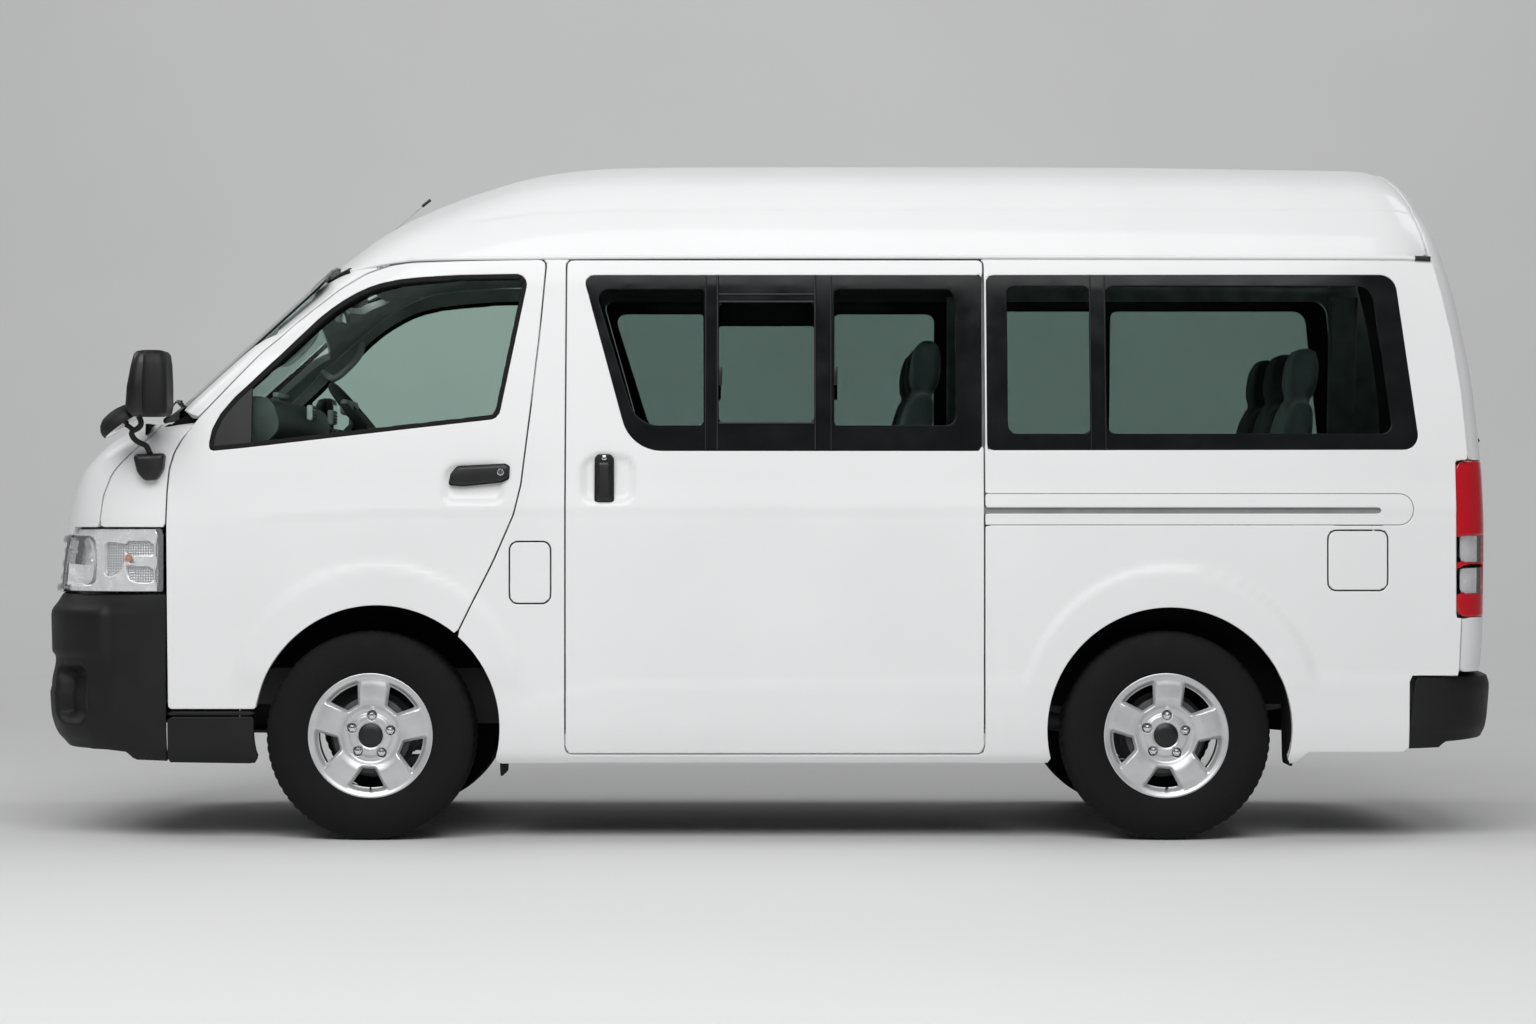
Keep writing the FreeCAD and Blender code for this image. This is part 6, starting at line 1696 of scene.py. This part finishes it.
# share of the height, thickness and half width of the sections of the back and of the headrest
BACK = (
    (0.0, 0.05, 0.195), (0.04, 0.075, 0.205), (0.2, 0.092, 0.212), (0.5, 0.09, 0.214), (0.8, 0.08, 0.208),
    (0.94, 0.066, 0.19), (0.985, 0.048, 0.165), (1.0, 0.03, 0.14),
)
HEADREST = (
    (0.0, 0.05, 0.09), (0.08, 0.076, 0.11), (0.35, 0.092, 0.122), (0.7, 0.09, 0.116), (0.92, 0.068, 0.096),
    (1.0, 0.038, 0.068),
)
SEAT_DEPTH = 0.485
LEAN = 0.2
VOXEL = 0.019  # size of the cells that the pads are remeshed with


def pad_ring(half_u, half_v, radius):
    return rounded(((-half_u, -half_v, radius), (half_u, -half_v, radius), (half_u, half_v, radius),
                    (-half_u, half_v, radius)))


def pad_shape(rise):
    """One seat's cushion, back and headrest about its cushion's front top edge."""
    pads = Shape()
    pads.rings([[(x, y, z) for y, z in rounded(((-half, low, 0.03), (half, low, 0.03), (half, high, 0.035),
                                                (-half, high, 0.035)))] for x, low, high, half in CUSHION])
    back, head = [], []
    for t, thick, half in BACK:
        x, z = SEAT_DEPTH + LEAN * rise * t + 0.045, -0.03 + (rise + 0.024) * t
        back.append([(x + u, v, z) for u, v in pad_ring(thick / 2, half, 0.02)])
    for t, thick, half in HEADREST:
        x, z = SEAT_DEPTH + LEAN * rise + 0.05 + 0.012 * t, rise + 0.006 + 0.166 * t
        head.append([(x + u, v, z) for u, v in pad_ring(thick / 2, half, 0.018)])
    pads.rings(back)
    pads.rings(head)
    return pads


def puffed(piece, cap=0.011):
    """Swells a cushion as cloth under pressure, held to at most the cap, and keeps the result."""
    remesh = piece.modifiers.new("remesh", "REMESH")
    remesh.mode = "VOXEL"
    remesh.voxel_size = VOXEL
    apply_modifiers(piece)
    start = np.array([v.co for v in piece.data.vertices])
    cloth = piece.modifiers.new("cloth", "CLOTH")
    cloth.settings.use_pressure = True
    cloth.settings.uniform_pressure_force = 4
    cloth.settings.effector_weights.gravity = 0
    cloth.settings.quality = 4
    cloth.point_cache.frame_start, cloth.point_cache.frame_end = 1, 20
    scene = bpy.context.scene
    for at in range(1, 21):
        scene.frame_set(at)
    apply_modifiers(piece)
    scene.frame_set(1)
    points = np.array([v.co for v in piece.data.vertices])
    move = points - start
    length = np.linalg.norm(move, axis=1, keepdims=True)
    points = start + move * np.minimum(1, cap / np.maximum(length, 1e-9))
    points = stitched(points)
    piece.data.vertices.foreach_set("co", points.astype(np.float32).ravel())
    piece.data.polygons.foreach_set("use_smooth", [True] * len(piece.data.polygons))


def stitched(points):
    """Presses the sewn channels into a seat: two along it and one across the cushion and the back."""
    x, y, z = points.T
    deep = 0.006 * np.exp(-((np.abs(y) - 0.125) / 0.006) ** 2)
    across = 0.005 * np.exp(-((x - 0.16) / 0.006) ** 2) * (z < 0.02)
    level = 0.005 * np.exp(-((z - 0.3) / 0.006) ** 2) * (x > 0.45)
    on_cushion = (z < 0.02) & (x < 0.45)
    points = points.copy()
    points[:, 2] -= np.where(on_cushion, (deep + across) * (z > -0.05), 0)
    front = (~on_cushion) & (z > 0.02)
    middle = 0.53 + LEAN * z
    points[:, 0] += np.where(front, (deep + level) * np.sign(middle - x), 0)
    return points


def apply_modifiers(piece):
    shaped = bpy.data.meshes.new_from_object(piece.evaluated_get(bpy.context.evaluated_depsgraph_get()))
    piece.modifiers.clear()
    old = piece.data
    piece.data = shaped
    bpy.data.meshes.remove(old)


def seats():
    """Padded cushions, one mesh for each row's seats, on plain frames."""
    for row, node_name, front, _, cushion_z, back_top, places in SEAT_ROWS:
        mesh = None
        for name, y in places:
            if mesh is None:
                piece = pad_shape(round(back_top - cushion_z, 3)).build(f"{row}_{name}_pads", [SEAT_CLOTH])
                puffed(piece)
                mesh = piece.data
            else:
                piece = linked(f"{row}_{name}_pads", mesh)
            piece.location = (front + 0.004, y, cushion_z)
            dress(piece, "body", (node_name,))
    frames = Shape()
    for _, _, front, foot, cushion_z, back_top, places in SEAT_ROWS:
        for _, y in places:
            seat_frame(frames, front, foot, cushion_z, back_top, y)
    frames.build("seat_frames", [SEAT_TRIM, DARK_STEEL, CHROME], "body", "seat")


def seat_frame(frames, front, foot, cushion_z, back_top, y):
    """The pan, legs, headrest posts and side tube of one seat."""
    low = cushion_z - 0.116
    frames.block((front + 0.03, y - 0.215, low - 0.02), (front + 0.54, y + 0.215, low), 0, 0.01)
    for x in (front + 0.07, front + 0.47):
        for side, _ in SIDES:
            leg_y = max(-0.545, min(0.545, y + side * 0.185))
            frames.block((x - 0.018, leg_y - 0.018, foot), (x + 0.018, leg_y + 0.018, low - 0.01), 1, 0.005)
    x = front + SEAT_DEPTH + LEAN * (back_top - cushion_z) + 0.05
    for side in (-0.06, 0.06):
        frames.tube([(x, y + side, back_top - 0.03), (x + 0.006, y + side, back_top + 0.045)], 0.006, 2)
    frames.tube([(front + 0.52, y - 0.225, low + 0.02), (front + 0.52, y - 0.226, cushion_z + 0.02)], 0.01)


def steering_wheel():
    wheel = Shape()
    tilt = math.radians(50.6)
    at = axis_frame((-1.43, 0.37, 1.366), (math.sin(tilt), 0, math.cos(tilt)))
    rings = []
    for a in (2 * math.pi * i / 72 for i in range(72)):
        out = Vector((math.cos(a), math.sin(a), 0))
        rings.append([out * (0.18 + 0.0145 * math.cos(b)) + Vector((0, 0, 0.0145 * math.sin(b)))
                      for b in (2 * math.pi * k / 14 for k in range(14))])
    wheel.rings(rings, 0, at, cap=False, close=True)
    wheel.turned([(0.03, -0.028), (0.062, -0.022), (0.074, -0.004), (0.07, 0.01), (0.05, 0.018),
                  (0.001, 0.022)], 0,
                 at, 48)
    wheel.turned([(0.036, -0.075), (0.04, -0.04), (0.034, -0.022)], 0, at, 32)
    for a in np.radians((-158, -22, -270)):
        u = Vector((math.cos(a), math.sin(a), 0))
        wheel.tube([u * 0.055 + Vector((0, 0, 0.004)), u * 0.115 + Vector((0, 0, -0.002)), u * 0.172], 0.017,
                   0, at,
                   flat=0.42)
    wheel.build("steering_wheel_parts", [SEAT_TRIM], "steering", "steering_rim", ("steering_wheel",), 40)
    stalks = Shape()
    for side, _ in SIDES:
        stalks.tube([(0.03 * side, 0, -0.045), (0.1 * side, 0, -0.04), (0.155 * side, 0, -0.03)], 0.0065, 0,
                    at)
    stalks.build("column_stalks", [TRIM], "body", "trim_grey")


def cab_fittings():
    """Grab handles, inner mirror, visor, instrument hood, vents, middle panel and gear lever."""
    fittings = Shape()
    # x, z, how far inwards
    handle = ((-1.622, 1.572, 0.0), (-1.592, 1.548, 0.04), (-1.56, 1.552, 0.046), (-1.5, 1.608, 0.046),
              (-1.478, 1.648, 0.042), (-1.482, 1.69, 0.0))
    for side, _ in SIDES:
        fittings.tube([(x, side * (0.728 - inward), z) for x, z, inward in handle], 0.0125, 0, flat=0.8)
    fittings.block((-1.48, -0.12, 1.705), (-1.455, 0.12, 1.765), 0, 0.011, steps=3)
    fittings.block((-1.456, -0.112, 1.711), (-1.4545, 0.112, 1.759), 1, 0.0005)
    fittings.tube([(-1.475, 0, 1.75), (-1.5, 0, 1.8), (-1.5, 0, 1.86)], 0.009, 0)
    fittings.block((-1.62, -0.66, 1.436), (-1.6, -0.4, 1.452), 0, 0.004)
    fittings.block((-1.5, 0.2, 1.4), (-1.47, 0.54, 1.455), 0, 0.012)
    for y in (-0.6, -0.02, 0.62):
        fittings.block((-1.51, y - 0.055, 1.36), (-1.49, y + 0.055, 1.41), 0, 0.006)
        for row in range(4):
            z = 1.366 + row * 0.011
            fittings.block((-1.4905, y - 0.048, z), (-1.4865, y + 0.048, z + 0.0035), 2, 0.001)
    fittings.block((-1.5, -0.125, 1.215), (-1.476, 0.115, 1.345), 2, 0.006)
    for y in (-0.085, -0.005, 0.075):
        fittings.turned([(0.019, 0.0), (0.018, 0.016), (0.013, 0.02), (0.001, 0.021)], 0,
                        axis_frame((-1.477, y, 1.25), (1, 0, 0)), 24)
    fittings.block((-1.2, -0.05, 0.82), (-1.02, 0.05, 0.9), 0, 0.015)
    fittings.tube([(-1.44, -0.1, 1.1), (-1.4, -0.08, 1.18), (-1.385, -0.07, 1.235)], 0.009, 2)
    fittings.turned([(0.001, -0.024), (0.02, -0.016), (0.024, 0.0), (0.018, 0.018), (0.001, 0.024)], 2,
                    Matrix.Translation((-1.383, -0.07, 1.25)), 24)
    fittings.build("cab_fittings", [DOOR_LINING, CHROME, SATIN], "body", "trim_grey", (), 40)


def linings(roof):
    """The headlining and the posts' trims, which close the view inside the windows."""
    lining = Shape()
    half, low_z, high_z = 0.05, 0.6, 1.84
    for side, _ in SIDES:
        foot = sorted((side * 0.735, side * 0.79))
        top = sorted((side * 0.665, side * 0.712))
        for x in (-0.69, 0.7, 2.09):
            lining.rings([oval_ring(x - half, x + half, *reach, z, 0.01, 20)
                          for reach, z in ((foot, low_z), (foot, 1.2), (top, high_z))])
    lining.build("pillar_trims", [LINING], "body", "liner")
    area = both(grown(gutter_top, -0.004), off(gate_edge, 0.06), over_screen(0.03))
    cut_piece("headlining", roof, [area], LINING, "liner", 0.004, roll=0, sink=0.034)


# ---------------------------------------------------------------- floor, lights and camera
LAMPS = (
    # name, place, aim, width, depth, watts
    ("key", (-1.0, -7.4, 6.9), (0, 0, 1.0), 9.0, 5.5, 690),
    ("top", (0.0, -0.5, 6.0), (0, 0, 0), 8.0, 4.0, 20),
    ("wash", (0.0, 10.0, 14.0), (0, 24.0, 5.0), 28.0, 4.0, 1450),
    ("tail_fill", (8.0, 2.5, 8.0), (1.5, 0.3, 1.0), 5.0, 4.0, 200),
    ("nose_fill", (-8.5, 1.5, 8.0), (-1.5, 0.3, 1.0), 5.0, 4.0, 200),
)


def area_light(name, place, aim, size, size_y, power):
    data = bpy.data.lights.new(name, "AREA")
    data.shape = "RECTANGLE"
    data.size, data.size_y = size, size_y
    data.energy = power
    lamp = linked(name, data)
    lamp.location = place
    lamp.rotation_euler = (Vector(aim) - Vector(place)).to_track_quat("-Z", "Y").to_euler()


def studio_floor():
    """A pale floor that sweeps up into a backdrop."""
    made, tree, shader = material("studio_floor", (0.74, 0.74, 0.74), 0.7)
    cloud = noise_of(tree, 0.4, 2)
    tint(tree, cloud.outputs["Fac"], shader.inputs["Base Color"], (0.73, 0.73, 0.73), (0.75, 0.75, 0.75))
    half, bend_y, bend_r, top = 40, 14.0, 10.0, 36.0
    sweep = [(-half, 0.0), (bend_y, 0.0)]
    sweep += [(bend_y + bend_r * math.sin(a), bend_r * (1 - math.cos(a)))
              for a in np.radians(np.arange(6, 91, 6))]
    sweep += [(bend_y + bend_r, top)]
    mesh = bpy.data.meshes.new("studio_floor")
    mesh.from_pydata([(x, y, z) for y, z in sweep for x in (-half, half)], [],
                     [(2 * i, 2 * i + 1, 2 * i + 3, 2 * i + 2) for i in range(len(sweep) - 1)])
    mesh.materials.append(made)
    mesh.polygons.foreach_set("use_smooth", [True] * len(mesh.polygons))
    linked("studio_floor", mesh)


def studio():
    studio_floor()
    world = bpy.data.worlds.new("studio")
    bpy.context.scene.world = world
    world.use_nodes = True
    background = world.node_tree.nodes["Background"]
    background.inputs["Color"].default_value = (0.62, 0.63, 0.65, 1)
    background.inputs["Strength"].default_value = 0.24
    for lamp in LAMPS:
        area_light(*lamp)
    data = bpy.data.cameras.new("camera")
    data.lens = 87.0
    data.sensor_width = 36.0
    data.clip_start, data.clip_end = 0.1, 200
    camera = linked("camera", data)
    camera.location = (0, -12.8, 1.06)
    camera.rotation_euler = (math.radians(90), 0, 0)
    bpy.context.scene.camera = camera
    bpy.context.scene.view_settings.view_transform = "Standard"


side_sheets = painted_sides()
nose_sheet, tail_sheet = painted_ends()
windscreen()
bumpers(side_sheets)
front_face(nose_sheet)
tail_lamps(tail_sheet)
wheels()
fender_mirror()
door_mirror()
handles()
roof_fittings()
wipers()
windscreen_cowl()
plates()
mud_flaps()
kept_nodes()
steering_wheel()
cab_fittings()
seats()
studio()
